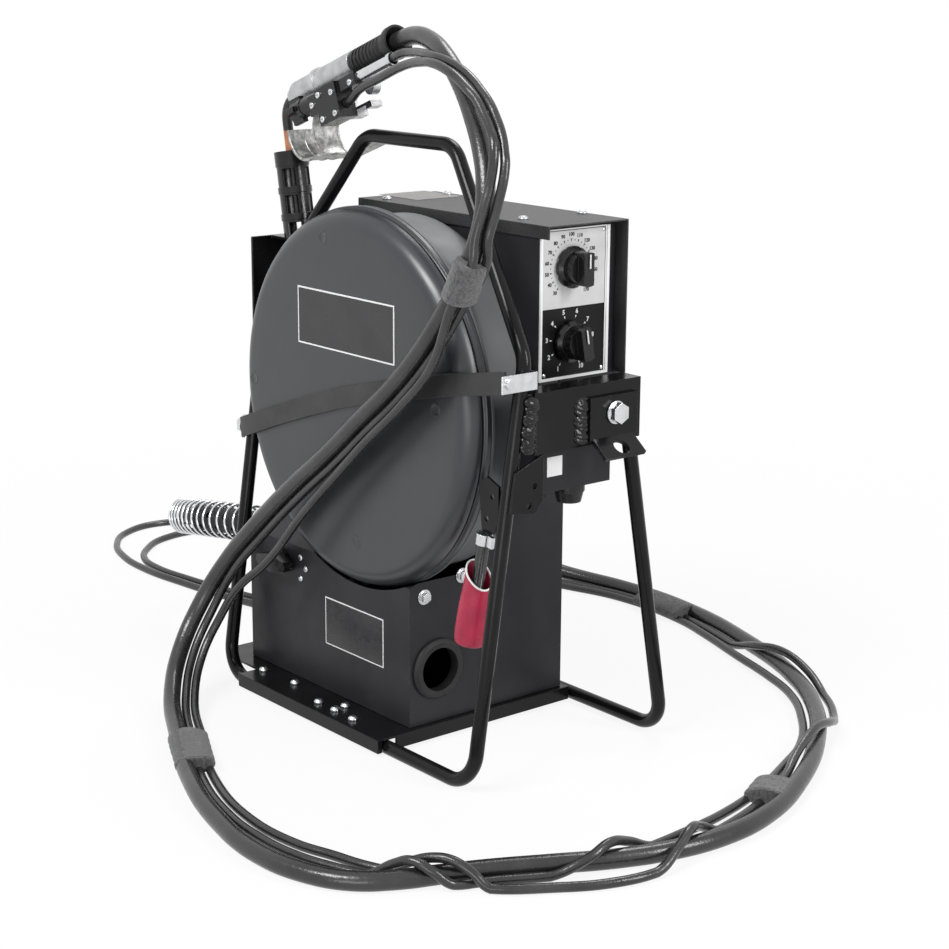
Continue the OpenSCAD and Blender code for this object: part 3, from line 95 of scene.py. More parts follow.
class Bench:
    """The node tree of a material or a world under construction."""

    def __init__(self, owner: bpy.types.Material | bpy.types.World) -> None:
        """Empties the node tree of its owner.

        Args:
            owner: Material or world that the tree belongs to.
        """
        owner.use_nodes = True
        self.owner = owner
        self.tree = owner.node_tree
        self.tree.nodes.clear()
        self.place = self.node("TexCoord").outputs["Object"]

    def node(
        self, kind: str, inputs: dict[str | int, object] | None = None, **settings: object,
    ) -> bpy.types.Node:
        """Adds a node.

        Args:
            kind: Type name of the node, without ShaderNode.
            inputs: Names or numbers of inputs, each with a value, a socket to link, or None to leave it.
            **settings: Properties of the node.

        Returns:
            The new node.
        """
        made = self.tree.nodes.new(f"ShaderNode{kind}")
        for name, value in settings.items():
            setattr(made, name, value)
        for name, value in (inputs or {}).items():
            if isinstance(value, Socket):
                self.tree.links.new(value, made.inputs[name])
            elif value is not None:
                made.inputs[name].default_value = value
        return made

    def noise(self, scale: float, detail: float, stretch: Point = (1.0, 1.0, 1.0)) -> Socket:
        """Adds a noise texture, perhaps stretched, and gives its value."""
        place = self.place
        if stretch != (1.0, 1.0, 1.0):
            place = self.node("Mapping", {"Vector": place, "Scale": stretch}).outputs["Vector"]
        return self.node("TexNoise", {"Vector": place, "Scale": scale, "Detail": detail}).outputs[0]

    def cells(self, scale: float) -> Socket:
        """Adds a smooth cell texture and gives its distance."""
        inputs = {"Vector": self.place, "Scale": scale}
        return self.node("TexVoronoi", inputs, feature="SMOOTH_F1").outputs["Distance"]

    def wave(self, direction: str, scale: float, distortion: float) -> Socket:
        """Adds a sine wave texture along one axis and gives its value."""
        inputs = {"Vector": self.place, "Scale": scale, "Distortion": distortion}
        return self.node("TexWave", inputs, bands_direction=direction).outputs[1]

    def band(self, value: object, source: Pair, target: tuple[object, object] = (0.0, 1.0)) -> Socket:
        """Maps a value from one range to another, clamped."""
        return self.node("MapRange", {
            "Value": value, "From Min": source[0], "From Max": source[1],
            "To Min": target[0], "To Max": target[1],
        }).outputs[0]

    def math(self, operation: str, a: object, b: object) -> Socket:
        """Adds a math node on two values."""
        return self.node("Math", {0: a, 1: b}, operation=operation).outputs[0]

    def mix(self, share: object, a: object, b: object) -> Socket:
        """Mixes two colours."""
        first, second = (value if isinstance(value, Socket) else (*value, 1.0) for value in (a, b))
        return self.node("Mix", {0: share, 6: first, 7: second}, data_type="RGBA").outputs[2]

    def axis(self, name: str) -> Socket:
        """Gives one coordinate of the object position."""
        return self.node("SeparateXYZ", {"Vector": self.place}).outputs[name]


# Noise values between which one tone passes into the other, and shine into dullness.
PATCH_BAND = (0.35, 0.68)
GLOSS_BAND = (0.3, 0.7)
# Gloss patches for each tone patch.
GLOSS_PATCH = 3.7
ROUGHNESS_LIMITS = (0.03, 1.0)
SHEEN_ROUGHNESS = 0.6
# Cosine of an edge's turn from unworn to fully worn, and the patches that break up the wear.
WEAR_TURN = (0.995, 0.90)
WEAR_PATCH = 160.0
WEAR_BAND = (0.52, 0.62)
# Stretch of brush marks along their axis, and cells for each grain of a casting.
BRUSH_STRETCH = 0.03
CAST_CELLS = 0.6
# Waviness of the tape's threads, and scale and weight of its fluff.
THREAD_BEND = 2.5
FLUFF_SCALE = 520.0
FLUFF_WEIGHT = 3.0
# Scale at which the wave texture has one band in a metre.
BAND_PER_METRE = 0.314


@dataclass(frozen=True)
class Finish:
    """A finish with tone patches, varied gloss, fine relief and softened edges."""

    key: str
    name: str
    slot: str
    colour: Colour
    second: Colour
    roughness: float = 0.5
    spread: float = 0.08
    metallic: float = 0.0
    specular: float = 0.5
    patch: float = 18.0
    grain: Grain = Grain.NONE
    grain_scale: float = 900.0
    grain_depth: float = 0.00005
    edge: float = 0.0006
    wear: Colour | None = None
    wear_share: float = 0.5
    sheen: float = 0.0

    def height(self, bench: Bench) -> Socket | None:
        """Builds the relief that belongs to the grain.

        Args:
            bench: Material under construction.

        Returns:
            The height socket, or None for a smooth finish.
        """
        scale = self.grain_scale
        if self.grain is Grain.PEEL:
            return bench.noise(scale, 2.0)
        if self.grain is Grain.PEBBLE:
            return bench.cells(scale)
        if self.grain is Grain.CAST:
            return bench.math("ADD", bench.noise(scale, 4.0), bench.cells(scale * CAST_CELLS))
        if self.grain is Grain.CLOTH:
            return self.weave(bench)
        if self.grain is Grain.BRUSHED_X:
            return bench.noise(scale, 3.0, (BRUSH_STRETCH, 1.0, 1.0))
        if self.grain is Grain.BRUSHED_Z:
            return bench.noise(scale, 3.0, (1.0, 1.0, BRUSH_STRETCH))
        return None

    def weave(self, bench: Bench) -> Socket:
        """Builds crossed threads in the three coordinate planes."""
        woven, *others = (bench.wave(axis, self.grain_scale, THREAD_BEND) for axis in "XYZ")
        for thread in others:
            woven = bench.math("ADD", woven, thread)
        fluff = bench.math("MULTIPLY", bench.noise(FLUFF_SCALE, 4.0), FLUFF_WEIGHT)
        return bench.math("ADD", woven, fluff)

    def tone(self, bench: Bench) -> Socket:
        """Builds the colour before wear."""
        share = bench.band(bench.noise(self.patch, 5.0), PATCH_BAND)
        return bench.mix(share, self.colour, self.second)

    def build(self) -> bpy.types.Material:
        """Makes the material.

        Returns:
            The finished material.
        """
        bench = Bench(bpy.data.materials.new(self.name))
        colour = self.tone(bench)
        least, most = ROUGHNESS_LIMITS
        limits = (max(self.roughness - self.spread, least), min(self.roughness + self.spread, most))
        gloss = bench.band(bench.noise(self.patch * GLOSS_PATCH, 4.0), GLOSS_BAND, limits)
        normal = None
        if self.edge > 0:
            normal = bench.node("Bevel", {"Radius": self.edge}, samples=4).outputs["Normal"]
        if self.wear is not None:
            colour = bench.mix(self.rubbed(bench, normal), colour, self.wear)
        height = self.height(bench)
        if height is not None:
            relief = {"Height": height, "Distance": self.grain_depth, "Strength": 1.0, "Normal": normal}
            normal = bench.node("Bump", relief).outputs["Normal"]
        shader = bench.node("BsdfPrincipled", {
            "Base Color": colour, "Roughness": gloss, "Metallic": self.metallic, "Normal": normal,
            "Specular IOR Level": self.specular, "Sheen Weight": self.sheen,
            "Sheen Roughness": SHEEN_ROUGHNESS,
        })
        bench.node("OutputMaterial", {"Surface": shader.outputs["BSDF"]})
        return bench.owner

    def rubbed(self, bench: Bench, rounded: Socket) -> Socket:
        """Finds edges that are rubbed, broken up by noise.

        Args:
            bench: Material under construction.
            rounded: Normal with softened edges.

        Returns:
            The share of wear at each place.
        """
        flat = bench.node("NewGeometry").outputs["Normal"]
        turn = bench.node("VectorMath", {0: rounded, 1: flat}, operation="DOT_PRODUCT").outputs["Value"]
        broken = bench.band(bench.noise(WEAR_PATCH, 4.0), WEAR_BAND)
        share = bench.math("MULTIPLY", bench.band(turn, WEAR_TURN), broken)
        return bench.math("MULTIPLY", share, self.wear_share)


@dataclass(frozen=True)
class DialFace(Finish):
    """Dial plate in two fields, pale above and black below, with a dark line and a bright trim."""

    low_field: Colour = (0.003, 0.003, 0.0035)
    line: Colour = (0.02, 0.02, 0.02)
    trim: Colour = (0.90, 0.90, 0.90)
    split: float = 0.3965
    low: float = 0.3372
    high: float = 0.4628
    left: float = -0.0012
    right: float = 0.0708
    border: float = 0.0007

    def tone(self, bench: Bench) -> Socket:
        """Colours the two fields, the line and the trim."""
        y, z = bench.axis("Y"), bench.axis("Z")
        face = bench.mix(bench.math("LESS_THAN", z, self.split), super().tone(bench), self.low_field)
        face = bench.mix(self.within(bench, y, z, self.border), self.line, face)
        return bench.mix(self.within(bench, y, z, 0.0), self.trim, face)

    def within(self, bench: Bench, y: Socket, z: Socket, inset: float) -> Socket:
        """Tells whether a place lies inside the plate's border, drawn in by an inset."""
        inside = bench.math("GREATER_THAN", z, self.low + inset)
        for operation, value, limit in (
            ("LESS_THAN", z, self.high - inset), ("GREATER_THAN", y, self.left + inset),
            ("LESS_THAN", y, self.right - inset),
        ):
            inside = bench.math("MULTIPLY", inside, bench.math(operation, value, limit))
        return inside


@dataclass(frozen=True)
class WoundWire(Finish):
    """Drawn wire laid side by side round the coil."""

    pitch: float = 0.002
    bend: float = 0.3

    def height(self, bench: Bench) -> Socket:
        """Builds a ridge for each turn of wire."""
        return bench.wave("Y", BAND_PER_METRE / self.pitch, self.bend)


@dataclass(frozen=True)
class NeckTube(Finish):
    """Copper tube with a black insulating cover outside a bare stretch."""

    cover: Colour = (0.010, 0.010, 0.011)
    bare_from: float = 0.500
    bare_to: float = 0.527

    def tone(self, bench: Bench) -> Socket:
        """Colours the bare tube and its cover."""
        height = bench.axis("Z")
        above = bench.math("GREATER_THAN", height, self.bare_from)
        bare = bench.math("MULTIPLY", above, bench.math("LESS_THAN", height, self.bare_to))
        return bench.mix(bare, self.cover, super().tone(bench))


FINISHES = (
    Finish(
        "frame", "frame_coat", "frame_black", (0.004, 0.004, 0.0045), (0.008, 0.008, 0.009), 0.20, 0.05,
        specular=0.20, grain=Grain.PEEL, grain_scale=420.0, wear=(0.10, 0.10, 0.10),
    ),
    Finish(
        "cabinet", "cabinet_coat", "cabinet_paint", (0.0185, 0.0180, 0.0208), (0.0245, 0.0240, 0.0272),
        0.38, 0.06, specular=0.20, grain=Grain.PEEL, grain_scale=700.0, grain_depth=0.00008,
        wear=(0.14, 0.14, 0.15),
    ),
    # The control cover's lighter second tone is a fine speckle all over it. It is painted sheen: it stands
    # in for the glints that the textured coat shows where light falls.
    Finish(
        "cover", "cover_coat", "cabinet_paint", (0.011, 0.011, 0.012), (0.052, 0.052, 0.054), 0.46, 0.10,
        specular=0.40, patch=900.0, grain=Grain.CAST, grain_scale=1100.0, grain_depth=0.00010,
        wear=(0.25, 0.25, 0.26),
    ),
    Finish(
        "lid", "lid_moulding", "drum_lid_grey", (0.021, 0.0225, 0.0275), (0.026, 0.0275, 0.0325), 0.33,
        0.04, specular=0.62, patch=9.0, grain=Grain.PEEL, grain_scale=1300.0, grain_depth=0.00002,
    ),
    Finish(
        "shell", "shell_moulding", "drum_shell_grey", (0.086, 0.091, 0.096), (0.108, 0.114, 0.119), 0.44,
        0.06, specular=0.35, patch=12.0, grain=Grain.PEBBLE, grain_scale=1500.0,
    ),
    Finish(
        "bright", "zinc_plate", "bright_steel", (0.70, 0.71, 0.72), (0.58, 0.59, 0.60), 0.24, 0.1, 1.0,
        patch=120.0, grain=Grain.PEEL, grain_depth=0.00002, edge=0.0003,
    ),
    Finish(
        "spring", "spring_steel", "bright_steel", (0.80, 0.81, 0.83), (0.68, 0.69, 0.71), 0.16, 0.06, 1.0,
        patch=60.0, edge=0.0,
    ),
    Finish(
        "steel", "turned_steel", "bright_steel", (0.52, 0.52, 0.53), (0.42, 0.42, 0.43), 0.32, 0.1, 1.0,
        patch=80.0, grain=Grain.BRUSHED_X, grain_depth=0.00002, edge=0.0004,
    ),
    Finish(
        "motor", "motor_enamel", "motor_grey", (0.045, 0.046, 0.048), (0.06, 0.06, 0.063), 0.42, 0.08,
        grain=Grain.PEEL, grain_scale=500.0, wear=(0.42, 0.42, 0.43), wear_share=0.3,
    ),
    Finish(
        "cast", "cast_alloy", "cast_alloy", (0.38, 0.385, 0.395), (0.56, 0.565, 0.575), 0.40, 0.12, 0.85,
        patch=70.0, grain=Grain.CAST, grain_depth=0.00012, wear=(0.62, 0.62, 0.63), wear_share=0.6,
    ),
    Finish(
        "shield", "bright_sheet_alloy", "sheet_alloy", (0.20, 0.20, 0.20), (0.50, 0.495, 0.485), 0.40,
        0.16, 0.9, patch=210.0, grain=Grain.CAST, grain_scale=420.0, grain_depth=0.0001, edge=0.0004,
    ),
    DialFace(
        "dial", "dial_face", "sheet_alloy", (0.60, 0.60, 0.60), (0.66, 0.66, 0.66), 0.34, 0.06, 0.0,
        specular=0.2, patch=60.0, edge=0.0003,
    ),
    Finish(
        "brass", "turned_brass", "brass", (0.60, 0.42, 0.16), (0.48, 0.33, 0.13), 0.3, 0.1, 1.0,
        patch=60.0,
    ),
    Finish(
        "plastic", "black_moulding", "black_plastic", (0.004, 0.004, 0.0045), (0.008, 0.008, 0.009), 0.24,
        0.08, specular=0.4, patch=40.0, grain=Grain.PEBBLE, grain_scale=1400.0, grain_depth=0.00003,
        wear=(0.07, 0.07, 0.07), wear_share=0.4,
    ),
    Finish(
        "rubber", "black_rubber", "rubber", (0.010, 0.010, 0.011), (0.018, 0.018, 0.019), 0.48, 0.1,
        specular=0.3, patch=50.0, grain=Grain.PEBBLE,
    ),
    Finish(
        "strap", "strap_rubber", "rubber", (0.024, 0.024, 0.025), (0.036, 0.036, 0.037), 0.42, 0.08,
        specular=0.35, patch=30.0, grain=Grain.PEEL, grain_scale=600.0, grain_depth=0.00006,
    ),
    Finish(
        "jacket", "cable_jacket", "cable_jacket", (0.011, 0.011, 0.012), (0.026, 0.026, 0.027), 0.25,
        0.06, specular=0.62, patch=26.0, grain=Grain.PEEL, grain_scale=380.0, grain_depth=0.00018,
        edge=0.0,
    ),
    Finish(
        "tape", "cloth_tape", "cloth_tape", (0.028, 0.028, 0.030), (0.104, 0.104, 0.108), 0.72, 0.10,
        specular=0.3, patch=420.0, grain=Grain.CLOTH, grain_scale=360.0, grain_depth=0.00022, edge=0.0,
        sheen=0.35,
    ),
    Finish(
        "red", "red_rubber", "boot_red", (0.42, 0.022, 0.062), (0.29, 0.013, 0.042), 0.36, 0.1,
        specular=0.4, patch=40.0, grain=Grain.PEEL, grain_scale=500.0, grain_depth=0.00008,
    ),
    WoundWire(
        "coil", "wound_wire", "coil_wire", (0.45, 0.40, 0.34), (0.36, 0.32, 0.27), 0.34, 0.1, 1.0,
        patch=30.0, grain_depth=0.0006, edge=0.0,
    ),
    Finish(
        "board", "board_laminate", "board_green", (0.02, 0.10, 0.05), (0.03, 0.14, 0.07), 0.4, 0.1,
        patch=200.0,
    ),
    Finish(
        "ink", "dial_ink", "black_plastic", (0.012, 0.012, 0.012), (0.02, 0.02, 0.02), 0.5, edge=0.0,
    ),
    Finish(
        "white", "white_enamel", "sheet_alloy", (0.78, 0.78, 0.78), (0.70, 0.70, 0.70), 0.42, 0.05,
        edge=0.0002,
    ),
    Finish(
        "label", "blank_label", "sheet_alloy", (0.014, 0.014, 0.016), (0.020, 0.020, 0.022), 0.26, 0.05,
        patch=30.0, edge=0.0002,
    ),
    Finish(
        "pale_label", "pale_label", "sheet_alloy", (0.27, 0.26, 0.25), (0.34, 0.33, 0.31), 0.45, 0.05,
        patch=300.0, edge=0.0,
    ),
    Finish(
        "weld", "weld_coat", "frame_black", (0.003, 0.003, 0.0035), (0.006, 0.006, 0.007), 0.12, 0.05,
        specular=0.34, patch=160.0, grain=Grain.CAST, grain_scale=300.0, grain_depth=0.0005, edge=0.0,
    ),
    NeckTube(
        "neck", "insulated_neck", "copper", (0.50, 0.20, 0.09), (0.32, 0.12, 0.06), 0.34, 0.10, 0.0,
        patch=90.0, grain=Grain.BRUSHED_Z, grain_scale=600.0, grain_depth=0.00003,
    ),
)


class Finishes:
    """All finishes of the feeder, built once."""

    def __init__(self) -> None:
        """Builds every material."""
        self.slots = {finish.key: finish.slot for finish in FINISHES}
        self.materials = {finish.key: finish.build() for finish in FINISHES}

    def dress(self, piece: Piece, key: str) -> Piece:
        """Gives a piece one finish.

        Args:
            piece: Mesh or curve piece.
            key: Name of the finish.

        Returns:
            The same piece.
        """
        piece.data.materials.clear()
        piece.data.materials.append(self.materials[key])
        return piece


# ---------- modelling by hand ----------

# Angles in degrees: edges below them are shaded smooth, not rounded, or dissolved as flat.
SMOOTH_BELOW = 35.0
BEVEL_ABOVE = 40.0
FLAT_BELOW = 1.0
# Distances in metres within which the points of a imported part, and of a closed profile, are one.
MERGE_PACKED = 1e-5
MERGE_CLOSED = 1e-7
# Weight of large faces in the shading of a rounded edge, in percent.
FACE_WEIGHT = 60
# Share of a span that a handle reaches along a smooth route.
HANDLE_SHARE = 0.39
# Degrees of a bend for each facet, and its fewest facets.
BEND_STEP = 5
BEND_FACETS = 4
# Height of a blank label's field over its rim.
LABEL_RISE = 0.0001


def clear_selection() -> None:
    """Leaves object mode with nothing selected."""
    if bpy.context.object is not None and bpy.context.object.mode != "OBJECT":
        bpy.ops.object.mode_set(mode="OBJECT")
    bpy.ops.object.select_all(action="DESELECT")


def take(piece: Piece) -> Piece:
    """Selects one piece alone and makes it active."""
    clear_selection()
    piece.select_set(True)
    bpy.context.view_layer.objects.active = piece
    return piece


def linked(name: str, data: bpy.types.ID) -> Piece:
    """Makes an object of its data and links it into the scene."""
    made = bpy.data.objects.new(name, data)
    bpy.context.scene.collection.objects.link(made)
    return made


def named(name: str) -> Piece:
    """Names the primitive that was just added, and its mesh."""
    piece = bpy.context.object
    piece.name = name
    piece.data.name = name
    return piece


def settle(piece: Piece, place: Matrix | None = None) -> Piece:
    """Moves a piece to its place and puts that place into its mesh.

    Args:
        piece: Mesh piece.
        place: Matrix from the piece's own frame to the model's frame.

    Returns:
        The same piece, at the origin, unturned.
    """
    take(piece)
    if place is not None:
        piece.matrix_world = place @ piece.matrix_world
    bpy.context.view_layer.update()
    bpy.ops.object.transform_apply(location=True, rotation=True, scale=True)
    return piece


def soften(piece: Piece, angle: float = SMOOTH_BELOW) -> Piece:
    """Shades a piece smooth across edges flatter than an angle in degrees."""
    take(piece)
    bpy.ops.object.shade_smooth_by_angle(angle=math.radians(angle))
    return piece


def bevelled(piece: Piece, width: float, segments: int = 2, angle: float = BEVEL_ABOVE) -> Piece:
    """Rounds the sharp edges of a piece.

    Args:
        piece: Mesh piece.
        width: Width of the bevel in metres.
        segments: Steps across the bevel.
        angle: Least angle of an edge that is rounded, in degrees.

    Returns:
        The same piece.
    """
    take(piece)
    bevel = piece.modifiers.new("edge", "BEVEL")
    bevel.width = width
    bevel.segments = segments
    bevel.limit_method = "ANGLE"
    bevel.angle_limit = math.radians(angle)
    bevel.use_clamp_overlap = True
    bpy.ops.object.modifier_apply(modifier=bevel.name)
    soften(piece)
    level = piece.modifiers.new("level_faces", "WEIGHTED_NORMAL")
    level.keep_sharp = True
    level.weight = FACE_WEIGHT
    bpy.ops.object.modifier_apply(modifier=level.name)
    return piece


def block(name: str, low: Point, high: Point, bevel: float = 0.0005) -> Piece:
    """Models a block with rounded edges.

    Args:
        name: Name of the piece.
        low: Lowest corner.
        high: Highest corner.
        bevel: Width of the edge rounding.

    Returns:
        The piece.
    """
    clear_selection()
    size = Vector(high) - Vector(low)
    bpy.ops.mesh.primitive_cube_add(size=1.0, location=(Vector(high) + Vector(low)) / 2, scale=size)
    return bevelled(settle(named(name)), bevel)


def turned(name: str, rings: Sequence[Pair], segments: int, closed: bool = False) -> Piece:
    """Turns a profile round Z by extruding one ring after another.

    Args:
        name: Name of the piece.
        rings: Radius and height of each ring.
        segments: Sides of each ring.
        closed: Whether the last ring joins the first, instead of both ends being filled.

    Returns:
        The piece, round the Z axis.
    """
    clear_selection()
    bpy.ops.mesh.primitive_circle_add(vertices=segments, radius=rings[0][0], location=(0, 0, 0))
    piece = named(name)
    bpy.ops.object.mode_set(mode="EDIT")
    bpy.ops.mesh.select_all(action="SELECT")
    bpy.ops.transform.translate(value=(0, 0, rings[0][1]))
    for (radius, height), (last_radius, last_height) in zip(rings[1:], rings[:-1]):
        bpy.ops.mesh.extrude_region_move()
        grow = radius / last_radius
        bpy.ops.transform.resize(value=(grow, grow, 1.0), center_override=(0, 0, last_height))
        bpy.ops.transform.translate(value=(0, 0, height - last_height))
    if closed:
        bpy.ops.mesh.select_all(action="SELECT")
        bpy.ops.mesh.remove_doubles(threshold=MERGE_CLOSED)
    else:
        bpy.ops.mesh.edge_face_add()
        bpy.ops.mesh.select_all(action="DESELECT")
        bpy.ops.object.mode_set(mode="OBJECT")
        for vertex in piece.data.vertices[:segments]:
            vertex.select = True
        bpy.ops.object.mode_set(mode="EDIT")
        bpy.ops.mesh.select_mode(type="VERT")
        bpy.ops.mesh.edge_face_add()
    bpy.ops.mesh.select_all(action="SELECT")
    bpy.ops.mesh.normals_make_consistent(inside=False)
    bpy.ops.object.mode_set(mode="OBJECT")
    return soften(piece)


def leaning(place: Point, angle: float, axis: str) -> Matrix:
    """Gives a place that is turned by degrees about one of its axes."""
    return Matrix.Translation(place) @ Matrix.Rotation(math.radians(angle), 4, axis)


def along_axis(start: Point, direction: Point) -> Matrix:
    """Gives the place whose local Z runs along a direction from a start."""
    turn = Vector((0, 0, 1)).rotation_difference(Vector(direction)).to_matrix().to_4x4()
    return Matrix.Translation(Vector(start)) @ turn


def steer(knots: Sequence[bpy.types.BezierSplinePoint], floor: float) -> None:
    """Aims the handles of a route along it, and keeps them above a height.

    Args:
        knots: Knots of the route, in their places.
        floor: Least height of a handle.
    """
    last = len(knots) - 1
    for index, knot in enumerate(knots):
        here = knot.co.copy()
        back = here - knots[max(index - 1, 0)].co
        ahead = knots[min(index + 1, last)].co - here
        aim = (back.normalized() + ahead.normalized()).normalized()
        for handle, reach in ((-1.0, back.length or ahead.length), (1.0, ahead.length or back.length)):
            place = here + aim * handle * reach * HANDLE_SHARE
            place.z = max(place.z, min(floor, here.z))
            if handle < 0:
                knot.handle_left = place
            else:
                knot.handle_right = place


def curve_tube(
    name: str, points: Sequence[Point], radius: float, cyclic: bool = False, smooth: bool = True,
    sides: int = 6, steps: int = 6,
) -> Piece:
    """Lays a round tube along a route as a curve.

    Args:
        name: Name of the piece.
        points: Points of the centreline.
        radius: Radius of the tube.
        cyclic: Whether the route closes on itself.
        smooth: Whether the route is rounded between its points.
        sides: Resolution of the tube round its line.
        steps: Resolution along each span.

    Returns:
        The curve piece.
    """
    data = bpy.data.curves.new(name, "CURVE")
    data.dimensions = "3D"
    data.bevel_depth = radius
    data.bevel_resolution = sides
    data.resolution_u = steps
    data.use_fill_caps = True
    spline = data.splines.new("BEZIER" if smooth else "POLY")
    if smooth:
        spline.bezier_points.add(len(points) - 1)
        for knot, point in zip(spline.bezier_points, points):
            knot.co = point
            knot.handle_left_type = knot.handle_right_type = "FREE"
        steer(spline.bezier_points, radius)
    else:
        spline.points.add(len(points) - 1)
        for knot, point in zip(spline.points, points):
            knot.co = (*point, 1.0)
    spline.use_cyclic_u = cyclic
    return linked(name, data)


def as_mesh(piece: Piece) -> Piece:
    """Turns a curve or text piece into a mesh piece."""
    take(piece)
    bpy.ops.object.convert(target="MESH")
    made = bpy.context.object
    bpy.ops.object.transform_apply(location=True, rotation=True, scale=True)
    return soften(made)


def joined(name: str, pieces: Sequence[Piece]) -> Piece:
    """Joins pieces into one."""
    clear_selection()
    for piece in pieces:
        piece.select_set(True)
    bpy.context.view_layer.objects.active = pieces[0]
    bpy.ops.object.join()
    return named(name)


def shaped(piece: Piece, move: Callable[[Vector], Vector]) -> Piece:
    """Moves every point of a piece by a rule.

    Args:
        piece: Mesh piece.
        move: Gives the new place of a point.

    Returns:
        The same piece.
    """
    for vertex in piece.data.vertices:
        vertex.co = move(vertex.co.copy())
    piece.data.update()
    return piece


def refined(node: str, width: float, segments: int) -> Piece:
    """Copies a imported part, merges its loose triangles and rounds its edges.

    Args:
        node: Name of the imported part.
        width: Width of the edge rounding, or 0 for none.
        segments: Steps across the rounding.

    Returns:
        The copy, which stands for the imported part.
    """
    copy = take(linked(f"{node}_skin", frame["nodes"][node].data.copy()))
    bpy.ops.object.mode_set(mode="EDIT")
    bpy.ops.mesh.select_all(action="SELECT")
    bpy.ops.mesh.remove_doubles(threshold=MERGE_PACKED)
    bpy.ops.mesh.dissolve_limited(angle_limit=math.radians(FLAT_BELOW))
    bpy.ops.object.mode_set(mode="OBJECT")
    if width > 0:
        bevelled(copy, width, segments, SMOOTH_BELOW)
    else:
        soften(copy)
    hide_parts(node)
    return copy


@dataclass
class Assembly:
    """A sub-assembly that builds pieces, dresses them and hangs them on their bodies."""

    finishes: Finishes
    title: str = "assembly"

    def add(self, piece: Piece, finish: str, body: str = "frame") -> Piece:
        """Dresses a piece, lets it ride on a body and reports it.

        Args:
            piece: Piece to add.
            finish: Name of its finish.
            body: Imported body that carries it.

        Returns:
            The same piece.
        """
        self.finishes.dress(piece, finish)
        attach(piece, body)
        LOG.info("%s: %s in %s on %s", self.title, piece.name, finish, body)
        return piece

    def keep(self, finish: str, *nodes: str) -> None:
        """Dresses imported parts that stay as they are."""
        for node in nodes:
            self.finishes.dress(frame["nodes"][node], finish)
            LOG.info("%s: %s kept in %s", self.title, node, finish)

    def refine(self, finish: str, *nodes: str, width: float = 0.0004, segments: int = 2) -> None:
        """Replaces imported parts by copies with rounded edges."""
        for node in nodes:
            body = frame["nodes"][node]["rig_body"]
            self.add(refined(node, width, segments), finish, body)

    def plate(self, name: str, corners: tuple[Pair, Pair], face: float, rim: float, border: float,
              seat: float, bevel: float) -> None:
        """Fixes a blank dark plate with a pale rim to a face that looks along -Y.

        Args:
            name: Start of the names of the rim and the field.
            corners: Lower left and upper right corner, as X and Z.
            face: Y of the face.
            rim: Thickness of the rim, from which the field stands proud.
            border: Width of the rim.
            seat: Distance of the field's back from the face.
            bevel: Edge rounding of the rim, twice that of the field.
        """
        (left, low), (right, high) = corners
        self.add(block(f"{name}_rim", (left, face - rim, low), (right, face, high), bevel), "white")
        self.add(block(
            f"{name}_field", (left + border, face - rim - LABEL_RISE, low + border),
            (right - border, face - seat, high - border), bevel / 2), "label")

    def build(self) -> None:
        """Builds the whole sub-assembly."""
        raise NotImplementedError


# ---------- cords ----------


def in_metres(*points: Point) -> tuple[Point, ...]:
    """Turns points in millimetres into points in metres."""
    return tuple(tuple(round(value / 1000, 7) for value in point) for point in points)


# Centreline of the gun cable, from the gun to the outlet sleeve.
GUN_CABLE_ROUTE = in_metres(
    (-29, -34, 606.4), (-7, -34, 614.2), (18, -37, 620), (50, -45, 618), (86, -56, 606), (120, -66, 584),
    (149, -77, 560), (170, -86, 538), (185, -94, 512), (190, -101, 484), (184, -107, 455), (166, -110, 423),
    (130, -112, 377), (92, -113, 339), (41, -113, 299), (-4, -113, 263), (-57, -114, 223),
    (-118, -118, 171), (-158, -127, 127), (-176, -145, 85), (-169, -172, 48), (-134, -204, 21),
    (-64, -241, 9), (26, -284, 8), (118, -313, 8), (190, -322, 8), (240, -313, 8), (273, -294, 8),
    (293, -266, 8), (307, -233, 8), (322, -200, 8), (346, -155, 8), (369, -111, 8), (385, -66, 8),
    (392, -14, 8), (384, 46, 8), (352, 120, 8), (303, 196, 8), (240, 264, 8), (165, 314, 8), (75, 350, 8),
    (-30, 377, 8), (-130, 380, 8), (-212, 358, 12), (-252, 338, 20), (-292, 312, 25), (-356, 254, 30),
    (-404, 186, 36), (-430, 116, 52), (-434, 52, 75), (-418, 0, 97), (-392, -28, 107), (-356, -34, 112.6),
    (-290, -34, 122.6), (-240, -34, 130), (-196, -34, 136.7),
)
